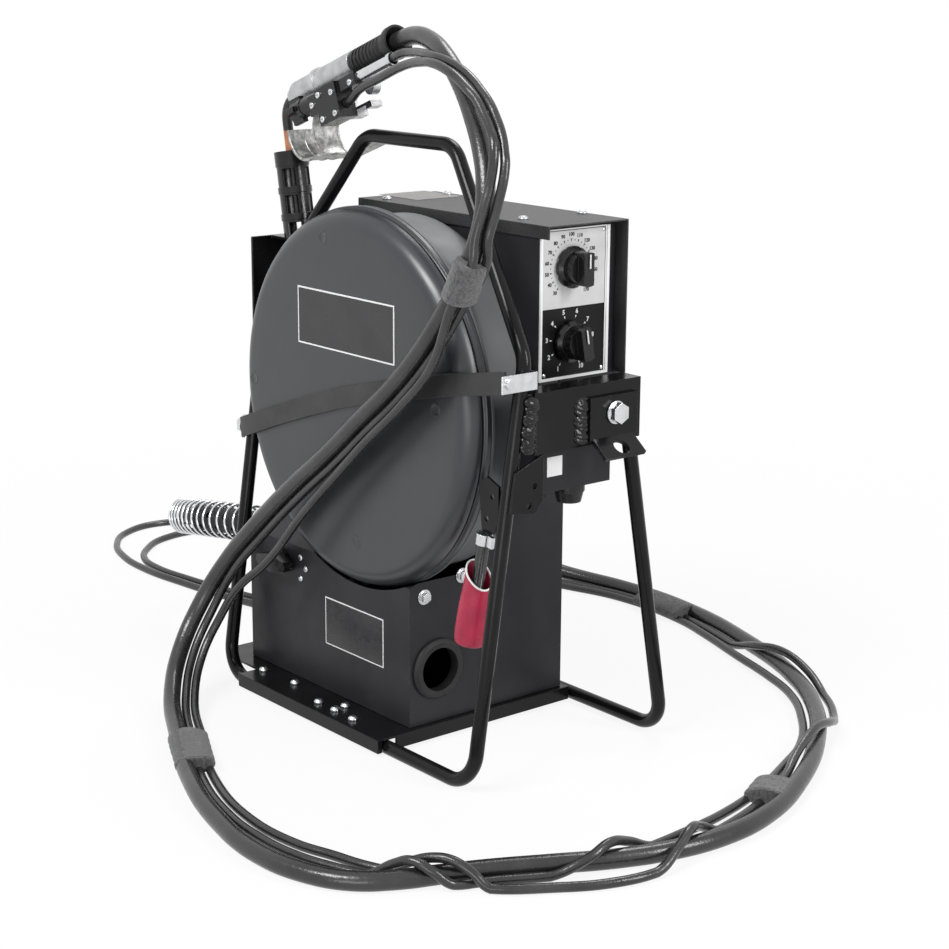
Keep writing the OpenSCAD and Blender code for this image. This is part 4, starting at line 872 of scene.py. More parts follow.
# Centreline of the lead that leaves the tube under the gun's boot.
TRIGGER_LEAD_ROUTE = in_metres(
    (1, -51, 598), (8, -51, 601), (20, -53, 605), (36, -55, 607), (88, -69, 606), (107, -71, 603),
    (126, -73, 598), (143, -75, 591), (158, -77, 582), (172, -79, 572), (182, -81, 562), (192, -84, 551),
    (199, -87, 539), (205, -91, 526), (205, -100, 492), (202, -105, 471), (194, -100, 450),
    (176, -107, 416), (140, -111, 369), (100, -113, 329), (49, -113, 289), (4, -113, 253), (-49, -114, 213),
    (-109, -117, 162), (-147, -126, 120), (-165, -139, 80), (-160, -163, 46), (-128, -193, 18),
    (-59, -230, 5), (30, -273, 4), (96, -293, 4), (152, -300, 4), (204, -296, 4), (240, -285, 4),
    (265, -274, 4), (283, -261, 16), (298, -255, 22), (313, -247, 16), (322, -234, 5), (330, -213, 4),
    (355, -166, 4), (368, -138, 16), (367, -115, 22), (364, -94, 16), (364, -66, 4), (361, -23, 4),
    (355, 23, 4), (339, 83, 4), (316, 139, 4), (292, 187, 4), (244, 242, 4), (196, 279, 4), (148, 300, 4),
    (86, 320, 4), (27, 340, 4), (-33, 356, 4), (-128, 359, 4), (-205, 338, 4), (-300, 314, 4),
    (-400, 283, 4), (-500, 245, 4), (-590, 196, 4), (-640, 146, 4), (-640, 92, 4), (-612, 50, 4),
    (-577, 26, 4), (-534, 19, 4), (-480, 24, 4), (-420, 34, 4), (-350, 48, 5), (-280, 58, 12),
    (-232, 60, 26), (-194, 60, 34),
)
# Centreline of the lead that leaves the switch box.
SWITCH_LEAD_ROUTE = in_metres(
    (-64, -52, 558), (-54, -52, 562), (-38, -54, 572), (-6, -57, 583), (42, -64, 597), (73, -71, 601),
    (99, -78, 601), (120, -82, 597), (137, -84, 591), (151, -86, 584), (163, -86, 576), (175, -88, 565),
    (186, -91, 555), (197, -96, 543), (200, -102, 512), (200, -109, 493), (197, -114, 471),
    (195, -115, 452), (175, -119, 417), (146, -117, 363), (106, -118, 323), (55, -118, 282),
    (11, -118, 244), (-38, -119, 200), (-91, -124, 143), (-129, -133, 109), (-153, -137, 77),
    (-154, -157, 44), (-124, -186, 16), (-55, -221, 4), (34, -264, 4), (124, -286, 4), (185, -284, 4),
    (223, -273, 4), (248, -266, 4), (269, -257, 4), (288, -247, 16), (304, -238, 22), (316, -231, 22),
    (329, -224, 16), (343, -215, 4), (371, -177, 4), (392, -139, 4), (401, -97, 4), (396, -69, 16),
    (389, -49, 23), (380, -29, 16), (376, -3, 4), (362, 54, 4), (339, 113, 5), (318, 156, 16),
    (304, 194, 23), (291, 228, 16), (268, 260, 4), (221, 300, 4), (183, 317, 16), (144, 324, 23),
    (104, 328, 17), (61, 341, 4), (-32, 365, 4), (-129, 368, 4), (-208, 346, 4), (-300, 326, 4),
    (-400, 299, 4), (-500, 263, 4), (-600, 216, 4), (-672, 170, 4), (-702, 116, 4), (-690, 68, 4),
    (-652, 32, 4), (-600, 12, 4), (-540, 6, 4), (-470, 12, 4), (-400, 22, 4), (-340, 33, 5), (-280, 42, 12),
    (-230, 44, 26), (-194, 44, 34),
)


@dataclass(frozen=True)
class CordPlan:
    """A cord as a cable designer would state it."""

    name: str
    node: str
    route: tuple[Point, ...]
    diameter: float
    length: float


@dataclass(frozen=True)
class WrapPlan:
    """One wrap of cloth tape round the bundle."""

    start: Point
    end: Point
    width: float
    height: float


@dataclass
class Cords(Assembly):
    """The gun cable, its two control leads and the tape that bundles them."""

    title: str = "cords"
    plans: tuple[CordPlan, ...] = (
        CordPlan("gun_cable_hose", "gun_cable", GUN_CABLE_ROUTE, 0.016, 3.21),
        CordPlan("trigger_lead_cord", "trigger_lead", TRIGGER_LEAD_ROUTE, 0.008, 3.47),
        CordPlan("switch_lead_cord", "switch_lead", SWITCH_LEAD_ROUTE, 0.008, 3.69),
    )
    steps: int = 8
    wraps: tuple[WrapPlan, ...] = (
        WrapPlan((0.188, -0.110, 0.452), (0.173, -0.112, 0.420), 0.034, 0.026),
        WrapPlan((-0.056, -0.236, 0.0095), (0.008, -0.267, 0.009), 0.036, 0.0175),
        WrapPlan((0.364, 0.065, 0.009), (0.349, 0.098, 0.009), 0.042, 0.0175),
        WrapPlan((-0.030, 0.368, 0.009), (-0.100, 0.372, 0.009), 0.038, 0.0165),
    )
    row: float = 0.0022
    least_rows: int = 8
    sides: int = 40
    end_share: float = 0.92
    lap_pitch: float = 0.014
    least_laps: float = 2.0
    lap_lift: float = 0.0006
    lap_run: Pair = (0.02, 0.98)
    crease: float = 0.00018
    crease_waves: int = 5
    crease_round: Pair = (1.5, 4.0)
    crease_along: Pair = (40, 120)
    shade_below: float = 50.0
    seed: int = 7

    def wrap(self, index: int, plan: WrapPlan) -> Piece:
        """Winds one wrap: an oval sleeve with the tape's own edges and creases.

        Args:
            index: Number of the wrap, which seeds its creases.
            plan: Place and size of the wrap.

        Returns:
            The wrap.
        """
        start, end = Vector(plan.start), Vector(plan.end)
        length = (end - start).length
        rows = max(self.least_rows, round(length / self.row))
        rings = [(1.0, length * step / rows) for step in range(1, rows)]
        rings = [(self.end_share, 0.0), *rings, (self.end_share, length)]
        piece = turned(f"tape_wrap_{index}", rings, self.sides)
        along = (end - start).normalized()
        up = (Vector((0, 0, 1)) - along * along.z).normalized()
        side = up.cross(along)
        chance = random.Random(self.seed + index)
        waves = [
            [chance.uniform(*limits) for limits in ((0, math.tau), self.crease_round, self.crease_along)]
            for _ in range(self.crease_waves)
        ]
        turns = max(self.least_laps, length / self.lap_pitch)

        def drape(point: Vector) -> Vector:
            """Gives the place on the bundle of one point of the plain sleeve."""
            angle = math.atan2(point.y, point.x)
            run = point.z / length
            lap = (run * turns + angle / math.tau) % 1.0
            lift = self.lap_lift * (1.0 - lap) if self.lap_run[0] < run < self.lap_run[1] else 0.0
            crease = sum(self.crease * math.sin(a * angle + b * point.z + p) for p, a, b in waves)
            reach = math.hypot(point.x, point.y)
            rise = lift + crease - self.lap_lift
            across = math.cos(angle) * (plan.width / 2 * reach + rise)
            above = math.sin(angle) * (plan.height / 2 * reach + rise)
            return start + along * point.z + side * across + up * above

        return soften(shaped(piece, drape), self.shade_below)

    def build(self) -> None:
        """Builds the wraps first, and then the cords that they go with."""
        tape = joined("tape_bundle", [self.wrap(index, plan) for index, plan in enumerate(self.wraps)])
        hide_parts("tape_wraps")
        self.add(tape, "tape")
        for plan in self.plans:
            cord = curve_tube(plan.name, plan.route, plan.diameter / 2, steps=self.steps)
            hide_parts(plan.node)
            self.add(cord, "jacket")


# ---------- frame and base ----------


def rounded_path(corners: Sequence[Pair], bend: float, cyclic: bool) -> list[Pair]:
    """Rounds the corners of a flat path.

    Args:
        corners: Corners of the path.
        bend: Radius of every bend.
        cyclic: Whether the path closes.

    Returns:
        Points along the path.
    """
    count = len(corners)
    found: list[Pair] = []
    for index, corner in enumerate(corners):
        if not cyclic and index in (0, count - 1):
            found.append(corner)
            continue
        here = Vector(corner)
        before = (here - Vector(corners[index - 1])).normalized()
        after = (Vector(corners[(index + 1) % count]) - here).normalized()
        turn = before.angle_signed(after)
        side = -math.copysign(1.0, turn)
        cut = bend * math.tan(abs(turn) / 2)
        start = here - before * cut
        centre = start + side * bend * Vector((-before.y, before.x))
        steps = max(BEND_FACETS, round(math.degrees(abs(turn)) / BEND_STEP))
        for step in range(steps + 1):
            angle = side * abs(turn) * step / steps
            spoke = start - centre
            found.append((
                centre.x + spoke.x * math.cos(angle) - spoke.y * math.sin(angle),
                centre.y + spoke.x * math.sin(angle) + spoke.y * math.cos(angle),
            ))
    return found


@dataclass(frozen=True)
class WeldPlan:
    """One weld bead by the centres of its lowest and highest ripple and a ripple's half sizes."""

    name: str
    foot: Point
    top: Point
    half: Point


@dataclass
class Frame(Assembly):
    """Bent tube loops, base plate, channel, brackets and welds."""

    title: str = "frame"
    tube: float = 0.0127
    bend: float = 0.030
    right: float = 0.190
    left: float = 0.187
    rear_left: float = 0.200
    front_depth: float = 0.108
    rear_depth: float = 0.114
    front_lean: float = 8.28
    rear_lean: float = 10.27
    shoulder: float = 0.365
    bar: float = 0.530
    bar_half: float = 0.063
    bar_middle: float = 0.005
    rear_left_top: float = 0.320
    rear_right_top: float = 0.336
    rear_gap: float = 0.002
    welds: tuple[WeldPlan, ...] = (
        WeldPlan(
            "post_weld", (0.1972, -0.0578, 0.2945), (0.1977, -0.0536, 0.3330), (0.0034, 0.0068, 0.0060),
        ),
        WeldPlan("bracket_weld", (0.1994, 0.0, 0.2960), (0.1994, 0.0, 0.3270), (0.0020, 0.0078, 0.0062)),
    )
    tube_sides: int = 9
    ripple_facets: tuple[int, int] = (24, 14)
    ripple_pitch: float = 0.55
    ripple_tilt: float = -30.0
    ripple_swing: float = 0.16
    sway_step: float = 2.4
    swell_step: float = 1.7
    swell_start: float = 0.6

    def plane(self, depth: float, angle: float) -> Matrix:
        """Gives the leaning plane of one loop, local X across and local Y up."""
        return leaning((0, depth, self.tube / 2), angle, "X")

    def loop(self, name: str, node: str, corners: Sequence[Pair], place: Matrix, cyclic: bool) -> None:
        """Bends one tube along its corners.

        Args:
            name: Name of the piece.
            node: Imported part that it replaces.
            corners: Corners in the leaning plane.
            place: Leaning plane in the model's frame.
            cyclic: Whether the tube closes on itself.
        """
        path = [place @ Vector((x, y, 0)) for x, y in rounded_path(corners, self.bend, cyclic)]
        piece = curve_tube(name, path, self.tube / 2, cyclic, smooth=False, sides=self.tube_sides)
        piece = as_mesh(piece)
        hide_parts(node)
        self.add(piece, "frame")

    def weld(self, plan: WeldPlan) -> None:
        """Lays one weld bead of overlapping ripples that sway and swell a little."""
        start, end = Vector(plan.foot), Vector(plan.top)
        thick, wide, high = plan.half
        around, along = self.ripple_facets
        count = max(2, round((end - start).length / (high * self.ripple_pitch)))
        ripples = []
        for index in range(count + 1):
            sway = self.ripple_swing * wide * math.sin(self.sway_step * index)
            swell = 1.0 + self.ripple_swing * math.sin(self.swell_step * index + self.swell_start)
            spot = start.lerp(end, index / count) + Vector((0.0, sway, 0.0))
            bpy.ops.mesh.primitive_uv_sphere_add(segments=around, ring_count=along, radius=1.0)
            ripple = bpy.context.object
            size = Matrix.Diagonal((thick * swell, wide * swell, high, 1.0))
            ripple.data.transform(leaning(spot, self.ripple_tilt, "Y") @ size)
            ripples.append(ripple)
        bead = joined(plan.name, ripples)
        for face in bead.data.polygons:
            face.use_smooth = True
        self.add(bead, "weld")

    def build(self) -> None:
        """Lays the welds, bends the tubes and rounds the sheet parts."""
        for plan in self.welds:
            self.weld(plan)
        self.loop("front_loop", "front_frame_tube", [
            (self.right, 0), (-self.left, 0), (-self.left, self.shoulder),
            (self.bar_middle - self.bar_half, self.bar), (self.bar_middle + self.bar_half, self.bar),
            (self.right, self.shoulder),
        ], self.plane(-self.front_depth, 90 - self.front_lean), True)
        lean = math.cos(math.radians(self.rear_lean))
        self.loop("rear_loop", "rear_frame_tube", [
            (-self.rear_left, self.rear_left_top / lean), (-self.rear_left, 0), (self.right, 0),
            (self.right, (self.rear_right_top - self.tube / 2) / lean - self.rear_gap),
        ], self.plane(self.rear_depth, 90 + self.rear_lean), False)
        self.refine("frame", "base_plate", width=0.0008, segments=3)
        self.refine("frame", "cross_channel", "lug_bracket", "gusset_plate", "lead_hanger", width=0.0005)
        self.refine("frame", "holster_bracket", width=0.0006)
        self.refine("bright", "base_screws", "lug_bolt", width=0.0003)
        self.refine("cabinet", "breaker_box", width=0.0006)
        self.refine("plastic", "cable_gland", "breaker_button", width=0.0004)


# ---------- cabinet and wire drive ----------


@dataclass
class Cabinet(Assembly):
    """Sheet cabinet with its latch and port, and the blank labels low on the feeder."""

    title: str = "cabinet"
    face: float = -0.0798
    label: tuple[Pair, Pair] = ((-0.0615, 0.062), (0.0285, 0.108))
    breaker_label: Box = ((0.182, -0.0225, 0.2615), (0.1823, -0.0055, 0.2785))

    def build(self) -> None:
        """Rounds the sheet edges and adds the blank labels."""
        self.refine("cabinet", "cabinet_shell", width=0.0009, segments=3)
        self.refine("bright", "cabinet_fasteners", width=0.0003)
        self.refine("plastic", "turn_latch", width=0.0008, segments=3)
        self.refine("rubber", "port_grommet", width=0.0006, segments=3)
        self.plate("cabinet_label", self.label, self.face, 0.0003, 0.0012, 0.0002, 0.0001)
        self.add(block("breaker_label", *self.breaker_label, 0.0001), "white")


@dataclass
class WireDrive(Assembly):
    """Motor, gearbox, rolls and guides inside the cabinet."""

    title: str = "wire drive"

    def build(self) -> None:
        """Finishes the drive's parts."""
        self.keep("motor", "motor_bracket", "drive_motor")
        self.refine("cast", "gearbox", "pressure_arm", width=0.0008)
        self.keep("steel", "drive_roll", "feed_wire")
        self.refine("steel", "idle_roll", width=0.0003)
        self.keep("brass", "wire_guides")


@dataclass
class OutletGuard(Assembly):
    """Spring guard and ribbed sleeve round the cable at the cabinet's end, and the lead glands."""

    title: str = "outlet guard"
    start: Point = (-0.187, -0.034, 0.138)
    droop: float = 8.5
    length: float = 0.196
    mean: float = 0.036
    wire: float = 0.003
    turns: int = 16
    facets: int = 28
    wire_sides: int = 4
    opening: float = 1.65
    wall_share: float = 1.1

    def coil_point(self, share: float) -> Vector:
        """Gives one point of the spring, open at the cabinet and closing up towards its end."""
        angle = math.tau * self.turns * share
        radius = self.mean / 2
        rise = self.length * (self.opening * share + (1 - self.opening) * share * share) + self.wire
        rise += radius * math.tan(math.radians(self.droop)) * self.wall_share
        return Vector((radius * math.cos(angle), radius * math.sin(angle), rise))

    def build(self) -> None:
        """Winds the spring and finishes the sleeve."""
        place = leaning(self.start, -90 - self.droop, "Y")
        count = self.turns * self.facets
        points = [place @ self.coil_point(step / count) for step in range(count + 1)]
        radius = self.wire / 2
        spring = as_mesh(curve_tube("spring_coils", points, radius, smooth=False, sides=self.wire_sides))
        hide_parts("spring_guard")
        self.add(spring, "spring")
        self.refine("rubber", "outlet_sleeve", width=0.0003)
        self.refine("plastic", "lead_glands", width=0.0004)


# ---------- drum ----------


@dataclass
class Drum(Assembly):
    """Moulded lid, rear shell, reel and coil."""

    title: str = "drum"
    axis: Pair = (-0.010, 0.3034)
    back: float = -0.0648
    depth: float = 0.025
    radius: float = 0.169
    rounding: float = 0.0168
    wall: float = 0.0024
    sides: int = 160
    arc_step: int = 9
    crown: tuple[float, ...] = (0.004, 0.05, 0.10, 0.14)
    inner_crown: tuple[float, ...] = (0.10, 0.004)
    lip: tuple[Pair, ...] = (
        (0.0, 0.0092), (-0.0002, 0.0086), (-0.0010, 0.0082), (-0.0010, 0.0074), (-0.0002, 0.0070),
        (0.0003, 0.0066), (0.0006, 0.0058), (0.0010, 0.0052), (0.0016, 0.0046), (0.0016, 0.0008),
        (0.0010, 0.0),
    )
    mark: tuple[Pair, ...] = (
        (0.0062, -0.0004), (0.0062, 0.0), (0.0058, 0.0003), (0.0050, 0.0003), (0.0046, 0.0001),
        (0.0008, 0.0001),
    )
    mark_sides: int = 32
    mark_spots: tuple[Pair, ...] = ((-0.035, 0.141), (-0.149, -0.003), (0.126, 0.014), (0.012, -0.127))
    badge: tuple[Pair, Pair] = ((-0.084, 0.346), (0.060, 0.398))

    def place(self) -> Matrix:
        """Gives the lid's own frame, local Z towards the front."""
        return leaning((self.axis[0], self.back, self.axis[1]), 90, "X")

    def arc(self, radius: float, angles: range) -> list[Pair]:
        """Gives rings along the quarter round of the shoulder."""
        centre, height = self.radius - self.rounding, self.depth - self.rounding
        return [
            (centre + radius * math.sin(math.radians(a)), height + radius * math.cos(math.radians(a)))
            for a in angles
        ]

    def lid(self) -> Piece:
        """Turns the lid with its lip, rounded shoulder and inner wall."""
        rings = [(radius, self.depth) for radius in self.crown]
        rings += self.arc(self.rounding, range(0, 91, self.arc_step))
        rings += [(self.radius + step, height) for step, height in self.lip]
        rings += [(self.radius - self.wall, 0.0)]
        rings += self.arc(self.rounding - self.wall, range(90, -1, -self.arc_step))
        rings += [(radius, self.depth - self.wall) for radius in self.inner_crown]
        return settle(turned("lid_shell", rings, self.sides), self.place())

    def build(self) -> None:
        """Builds the lid with its marks and blank badge, and finishes the parts behind it."""
        lid = self.lid()
        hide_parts("drum_lid")
        self.add(lid, "lid")
        for index, (across, up) in enumerate(self.mark_spots):
            mark = turned(f"lid_mark_{index}", self.mark, self.mark_sides)
            self.add(settle(mark, self.place() @ Matrix.Translation((across, up, self.depth))), "lid")
        self.plate("lid_plate", self.badge, self.back - self.depth, 0.0005, 0.0015, 0.0003, 0.0002)
        self.refine("shell", "drum_shell", width=0.0006)
        self.keep("steel", "spindle")
        self.refine("plastic", "spindle_nut", width=0.0006)
        self.refine("plastic", "wire_reel", width=0.0)
        self.refine("coil", "wire_coil", width=0.0)


@dataclass
class Strap(Assembly):
    """Rubber strap over the lid with its clip and bolts."""

    title: str = "strap"

    def build(self) -> None:
        """Rounds the strap and its fittings."""
        self.refine("strap", "strap", width=0.0009, segments=3)
        self.refine("bright", "strap_clip", "strap_bolts", width=0.0004, segments=3)


# ---------- control box ----------


@dataclass(frozen=True)
class DialPlan:
    """One dial: its axis, its figures with the angle of the last one, their ink and its pointer."""

    name: str
    centre: float
    figures: range
    sweep: float
    reach: float
    size: float
    ink: str
    half_ticks: bool
    pointer_turn: float


@dataclass
class ControlBox(Assembly):
    """Chassis, hood, dial plate with its figures, knobs and inner parts."""

    title: str = "control box"
    face: float = 0.1485
    dial_y: float = 0.031
    dials: tuple[DialPlan, ...] = (
        DialPlan("speed", 0.431, range(30, 180, 10), 140.0, 0.0276, 0.0044, "ink", True, 0.0),
        DialPlan("volts", 0.367, range(1, 11), 150.0, 0.0264, 0.0056, "white", False, 10.0),
    )
    ink_half: float = 0.00008
    stroke: float = 0.00018
    tick_thick: float = 0.0002
    tick_narrow: float = 0.55
    full_tick: Pair = (0.0044, 0.0017)
    half_tick: Pair = (0.0046, 0.0010)
    pointer_line: Box = ((0.1727, -0.0006, 0.001), (0.1734, 0.0006, 0.0130))
    cover_label: Box = ((-0.114, 0.024, 0.4690), (-0.056, 0.078, 0.4692))
    apron: Box = ((0.1462, 0.0200, 0.3262), (0.1482, 0.0960, 0.3346))
    rivet: tuple[Pair, ...] = ((0.0018, 0.0), (0.0017, 0.0005), (0.0011, 0.0009), (0.0003, 0.0010))
    rivet_sides: int = 20
    rivet_y: Pair = (0.0016, 0.0680)
    rivet_z: Pair = (0.3400, 0.4600)

    def spot(self, plan: DialPlan, angle: float, reach: float, rise: float) -> Matrix:
        """Gives a place on the plate.

        Args:
            plan: Dial that the place belongs to.
            angle: Degrees clockwise from the top.
            reach: Distance from the dial's axis.
            rise: Height over the plate.

        Returns:
            The move to the place.
        """
        across, up = math.sin(math.radians(angle)) * reach, math.cos(math.radians(angle)) * reach
        return Matrix.Translation((self.face + rise, self.dial_y + across, plan.centre + up))

    def figure(self, plan: DialPlan, text: str, angle: float) -> Piece:
        """Sets one figure beside a dial."""
        clear_selection()
        bpy.ops.object.text_add(location=(0, 0, 0))
        piece = bpy.context.object
        piece.data.body = text
        piece.data.size = plan.size
        piece.data.extrude = self.ink_half
        piece.data.offset = self.stroke
        piece.data.align_x = piece.data.align_y = "CENTER"
        piece.data.resolution_u = 2
        turn = Matrix(((0, 0, 1), (1, 0, 0), (0, 1, 0))).to_4x4()
        return settle(as_mesh(piece), self.spot(plan, angle, plan.reach, self.ink_half) @ turn)

    def tick(self, plan: DialPlan, angle: float, kind: Pair) -> Piece:
        """Cuts one pointed tick that aims at a dial's axis.

        Args:
            plan: Dial that the tick belongs to.
            angle: Degrees clockwise from the top.
            kind: Distance from the figures' ring towards the axis, and size.

        Returns:
            The tick.
        """
        gap, size = kind
        clear_selection()
        bpy.ops.mesh.primitive_cone_add(vertices=3, radius1=size, radius2=size, depth=self.tick_thick)
        piece = settle(named("tick"))
        shaped(piece, lambda point: Vector((point.x * self.tick_narrow, point.y, point.z)))
        turn = Matrix.Rotation(math.radians(-angle), 4, "X")
        turn @= Matrix(((0, 0, 1), (-1, 0, 0), (0, -1, 0))).to_4x4()
        return settle(piece, self.spot(plan, angle, plan.reach - gap, self.tick_thick / 2) @ turn)

    def dial_marks(self, plan: DialPlan) -> None:
        """Sets a ring of figures and ticks round one dial."""
        marks = []
        step = 2 * plan.sweep / (len(plan.figures) - 1)
        for index, number in enumerate(plan.figures):
            angle = -plan.sweep + step * index
            marks += [self.figure(plan, str(number), angle), self.tick(plan, angle, self.full_tick)]
            if plan.half_ticks and index < len(plan.figures) - 1:
                marks.append(self.tick(plan, angle + step / 2, self.half_tick))
        self.add(joined(f"{plan.name}_figures", marks), plan.ink)

    def build(self) -> None:
        """Builds the figures and finishes the box."""
        self.refine("cabinet", "control_chassis", width=0.0008)
        self.refine("cover", "control_cover", width=0.0008, segments=3)
        self.refine("dial", "dial_plate", width=0.0002)
        self.refine("plastic", "speed_knob", "volts_knob", width=0.0005, segments=3)
        self.refine("bright", "cover_screws", width=0.0003)
        self.keep("steel", "potentiometers")
        self.keep("board", "circuit_board")
        for plan in self.dials:
            self.dial_marks(plan)
        for plan in self.dials:
            place = leaning((0, self.dial_y, plan.centre), plan.pointer_turn, "X")
            line = block(f"{plan.name}_pointer", *self.pointer_line, 0.0001)
            self.add(settle(line, place), "white", f"{plan.name}_dial")
        self.add(block("cover_label", *self.cover_label, 0.0001), "pale_label")
        self.add(block("chassis_apron", *self.apron, 0.0003), "cabinet")
        rivets = []
        for spot in ((self.face, y, z) for y in self.rivet_y for z in self.rivet_z):
            rivet = turned("rivet", self.rivet, self.rivet_sides)
            rivets.append(settle(rivet, along_axis(spot, (1, 0, 0))))
        self.add(joined("plate_rivets", rivets), "bright")


# ---------- gun, holster and work lead ----------


@dataclass
class Gun(Assembly):
    """Welding gun in its holster."""

    title: str = "gun"
    origin: Point = (-0.156, -0.034, 0.5616)
    tilt: float = 19.5
    sleeve: tuple[Pair, ...] = (
        (0.00505, 0.112), (0.00505, 0.1625), (0.0059, 0.1630), (0.0062, 0.1640), (0.0062, 0.1672),
        (0.0059, 0.1682), (0.0049, 0.1682), (0.0049, 0.112),
    )
    sleeve_sides: int = 40
    sleeve_axis: Point = (0, -0.017, -0.018)
    screw_head: tuple[Pair, ...] = (
        (0.0030, 0.0), (0.0030, 0.0010), (0.0027, 0.0016), (0.0019, 0.0020), (0.0006, 0.0021),
    )
    screw_spots: tuple[Point, ...] = (
        (0.064, -0.0270, -0.019), (0.064, -0.0270, -0.041), (0.084, -0.0270, -0.022),
        (0.084, -0.0270, -0.041), (0.052, -0.0270, -0.025), (0.110, -0.0240, -0.021),
    )
    screw_sides: int = 28
    slot: Box = ((-0.0040, -0.0030, -0.0003), (0.0040, -0.0015, 0.0003))
    slot_edge: float = 0.00005

    def place(self) -> Matrix:
        """Gives the gun's own frame: X along the handle, Z away from its underside."""
        return leaning(self.origin, -self.tilt, "Y")

    def screw(self, index: int, spot: Point) -> Piece:
        """Turns one bright slotted head over its seat on the switch box."""
        head = turned(f"switch_screw_{index}", self.screw_head, self.screw_sides)
        head = settle(head, along_axis(spot, (0, -1, 0)))
        low, high = (Vector(spot) + Vector(corner) for corner in self.slot)
        slot = block("slot", low, high, self.slot_edge)
        take(head)
        cut = head.modifiers.new("slot", "BOOLEAN")
        cut.operation = "DIFFERENCE"
        cut.solver = "EXACT"
        cut.object = slot
        bpy.ops.object.modifier_apply(modifier=cut.name)
        bpy.data.objects.remove(slot)
        return settle(head, self.place())

    def build(self) -> None:
        """Rounds and finishes the gun's parts, and adds the bright sleeve and the screw heads."""
        self.refine("plastic", "holster", width=0.0004)
        self.refine("cast", "gun_body", width=0.0006)
        self.refine("rubber", "gun_boot", width=0.0004)
        self.refine("plastic", "switch_box", width=0.0005)
        self.refine("plastic", "selector_knob", width=0.0006)
        self.refine("steel", "trigger", width=0.0004)
        self.refine("shield", "hand_shield", width=0.0003)
        self.refine("neck", "conductor_tube", width=0.0)
        sleeve = turned("lead_sleeve", self.sleeve, self.sleeve_sides, closed=True)
        self.add(settle(sleeve, self.place() @ along_axis(self.sleeve_axis, (1, 0, 0))), "bright")
        for index, spot in enumerate(self.screw_spots):
            self.add(self.screw(index, spot), "bright")


@dataclass
class WorkLead(Assembly):
    """Work lead hung beside the leg in its red boot."""

    title: str = "work lead"
    top: Point = (0.166, -0.0765, 0.2192)
    tilt: float = 10.3
    mouth: float = 0.0117
    mouth_z: float = -0.030
    slant: float = 0.80
    slant_from: float = -0.062
    folds: tuple[tuple[float, int, float, float], ...] = ((0.012, 3, 0.0, 0.6), (0.008, 5, 90.0, 0.0))
    rim_radius: float = 0.0115
    rim_thick: float = 0.0009
    rim_facets: int = 48
    sides: int = 56
    outer: tuple[Pair, ...] = (
        (0.0114, -0.1020), (0.0132, -0.1020), (0.0138, -0.1014), (0.0146, -0.0975), (0.0147, -0.0900),
        (0.0144, -0.0800), (0.0139, -0.0700), (0.0132, -0.0600), (0.0125, -0.0500), (0.0120, -0.0420),
        (0.0118, -0.0360), (0.0119, -0.0315), (0.0118, -0.0303), (0.0114, -0.0300),
    )
    inner: tuple[Pair, ...] = (
        (0.0108, -0.0304), (0.0104, -0.0360), (0.0100, -0.0440), (0.0092, -0.0520), (0.0070, -0.0580),
        (0.0057, -0.0600), (0.0057, -0.0698), (0.0083, -0.0698), (0.0083, -0.0962), (0.0114, -0.0980),
    )

    def slope(self, point: Vector) -> Vector:
        """Cuts the boot's mouth aslant, open towards the front, and folds its wall a little."""
        share = max(0.0, (point.z - self.slant_from) / (self.mouth_z - self.slant_from))
        lower = self.slant * (point.x + self.mouth) * share
        angle = math.atan2(point.y, point.x)
        fold = 1.0 + sum(
            depth * math.sin(count * angle + point.z * twist + start)
            for depth, count, twist, start in self.folds
        )
        return Vector((point.x * fold, point.y * fold, point.z - lower))

    def build(self) -> None:
        """Moulds the boot with its white rim and finishes the lead."""
        place = leaning(self.top, self.tilt, "Y")
        piece = shaped(turned("work_boot", self.outer + self.inner, self.sides, closed=True), self.slope)
        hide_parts("red_boot")
        self.add(settle(piece, place), "red")
        radius = self.rim_radius
        angles = (math.tau * step / self.rim_facets for step in range(self.rim_facets))
        ring = [
            self.slope(Vector((radius * math.cos(angle), radius * math.sin(angle), self.mouth_z)))
            for angle in angles
        ]
        rim = as_mesh(curve_tube("boot_rim", ring, self.rim_thick, cyclic=True, smooth=False, sides=3))
        self.add(settle(rim, place), "white")
        self.refine("jacket", "lead_stub", width=0.0)
        self.refine("bright", "band_clamp", width=0.0003)


# ---------- studio ----------


@dataclass(frozen=True)
class Softbox:
    """One area lamp with the point that it faces, its width and height, and its power."""

    name: str
    place: Point
    target: Point
    size: Pair
    power: float

    def hang(self) -> None:
        """Hangs the lamp."""
        data = bpy.data.lights.new(self.name, "AREA")
        data.shape = "RECTANGLE"
        data.size, data.size_y = self.size
        data.energy = self.power
        lamp = linked(self.name, data)
        lamp.location = self.place
        aim = Vector(self.target) - Vector(self.place)
        lamp.rotation_euler = aim.to_track_quat("-Z", "Y").to_euler()


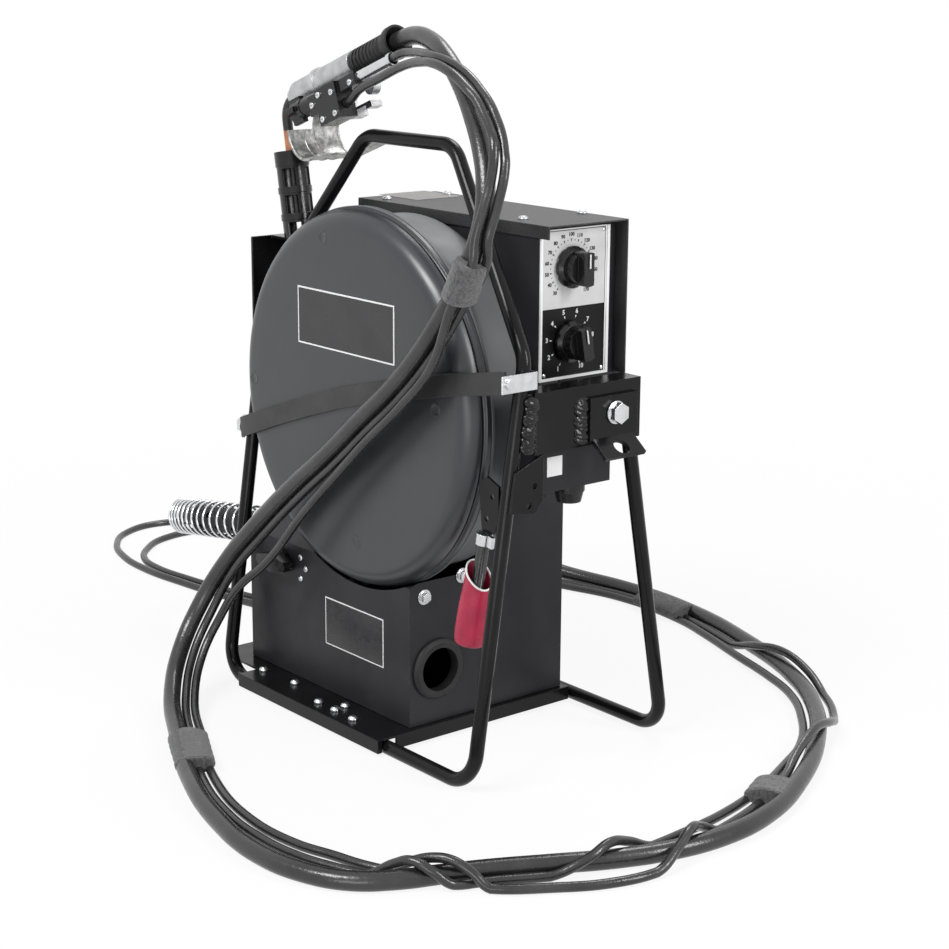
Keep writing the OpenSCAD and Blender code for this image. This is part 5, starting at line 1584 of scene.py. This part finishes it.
@dataclass(frozen=True)
class Studio:
    """Floor, world, lamps and camera."""

    eye: Point = (1.426765, -1.123244, 0.682884)
    right: Point = (0.63351197, 0.77371274, 0.00558416)
    up: Point = (-0.19278065, 0.15085002, 0.96957717)
    ahead: Point = (-0.74933184, 0.61531526, -0.24472214)
    lens: float = 77.34
    sensor: float = 36.0
    clip: Pair = (0.01, 50.0)
    floor_size: float = 40.0
    floor_z: float = -0.0005
    floor_grey: float = 0.80
    fade_reach: Pair = (0.35, 1.30)
    fade_white: Pair = (0.88, 1.0)
    fill: float = 0.38
    lamps: tuple[Softbox, ...] = (
        Softbox("key_box", (0.25, -2.1, 2.5), (0, 0, 0.3), (1.5, 0.9), 70.0),
        Softbox("side_box", (2.4, 0.7, 1.5), (0, 0, 0.3), (0.5, 1.3), 34.0),
        Softbox("low_box", (0.95, -1.25, 0.22), (0.12, -0.08, 0.22), (0.7, 0.4), 3.0),
        Softbox("top_box", (-0.8, 1.4, 2.8), (0, 0, 0.3), (1.0, 1.0), 26.0),
    )

    def camera(self) -> None:
        """Sets the camera."""
        data = bpy.data.cameras.new("camera")
        data.lens = self.lens
        data.sensor_width = self.sensor
        data.clip_start, data.clip_end = self.clip
        camera = linked("camera", data)
        turn = Matrix((self.right, self.up, -Vector(self.ahead))).transposed().to_4x4()
        camera.matrix_world = Matrix.Translation(self.eye) @ turn
        bpy.context.scene.camera = camera

    def floor(self) -> None:
        """Lays a plain floor: pale grey to the light, and to the eye mostly white, all white far away."""
        clear_selection()
        bpy.ops.mesh.primitive_plane_add(size=self.floor_size, location=(0, 0, self.floor_z))
        floor = named("floor")
        bench = Bench(bpy.data.materials.new("floor_white"))
        shader = bench.node("BsdfPrincipled", {
            "Base Color": (self.floor_grey,) * 3 + (1.0,), "Roughness": 0.9, "Specular IOR Level": 0.1,
        })
        reach = bench.node("VectorMath", {0: bench.place}, operation="LENGTH").outputs["Value"]
        white = self.seen(bench, bench.band(reach, self.fade_reach, self.fade_white))
        glow = bench.node("Emission", {"Color": (1, 1, 1, 1)})
        blend = bench.node("MixShader", {0: white, 1: shader.outputs[0], 2: glow.outputs[0]})
        bench.node("OutputMaterial", {"Surface": blend.outputs[0]})
        floor.data.materials.append(bench.owner)

    def seen(self, bench: Bench, most: object = 1.0) -> Socket:
        """Gives the share of white for camera, glossy and transmission rays.

        Args:
            bench: Material or world under construction.
            most: Greatest share of white.

        Returns:
            The share.
        """
        rays = bench.node("LightPath").outputs
        total = bench.math("MAXIMUM", rays["Is Camera Ray"], rays["Is Glossy Ray"])
        total = bench.math("MAXIMUM", total, rays["Is Transmission Ray"])
        return bench.math("MULTIPLY", total, most)

    def world(self) -> None:
        """Fills the world: white to the eye, soft grey light."""
        bench = Bench(bpy.data.worlds.new("studio"))
        bpy.context.scene.world = bench.owner
        strength = bench.band(self.seen(bench), (0.0, 1.0), (self.fill, 1.0))
        ground = bench.node("Background", {"Color": (1, 1, 1, 1), "Strength": strength})
        bench.node("OutputWorld", {"Surface": ground.outputs[0]})

    def build(self) -> None:
        """Sets up the whole studio."""
        self.camera()
        self.floor()
        self.world()
        for lamp in self.lamps:
            lamp.hang()
        bpy.context.scene.view_settings.view_transform = "Standard"


def main() -> None:
    """Builds the studio and every sub-assembly."""
    logging.basicConfig(level=logging.INFO, format="%(name)s: %(message)s")
    finishes = Finishes()
    Studio().build()
    for assembly in (
        Cords(finishes), Frame(finishes), Cabinet(finishes), WireDrive(finishes), OutletGuard(finishes),
        Drum(finishes), Strap(finishes), ControlBox(finishes), Gun(finishes), WorkLead(finishes),
    ):
        assembly.build()
    clear_selection()


if __name__ == "__main__":
    main()
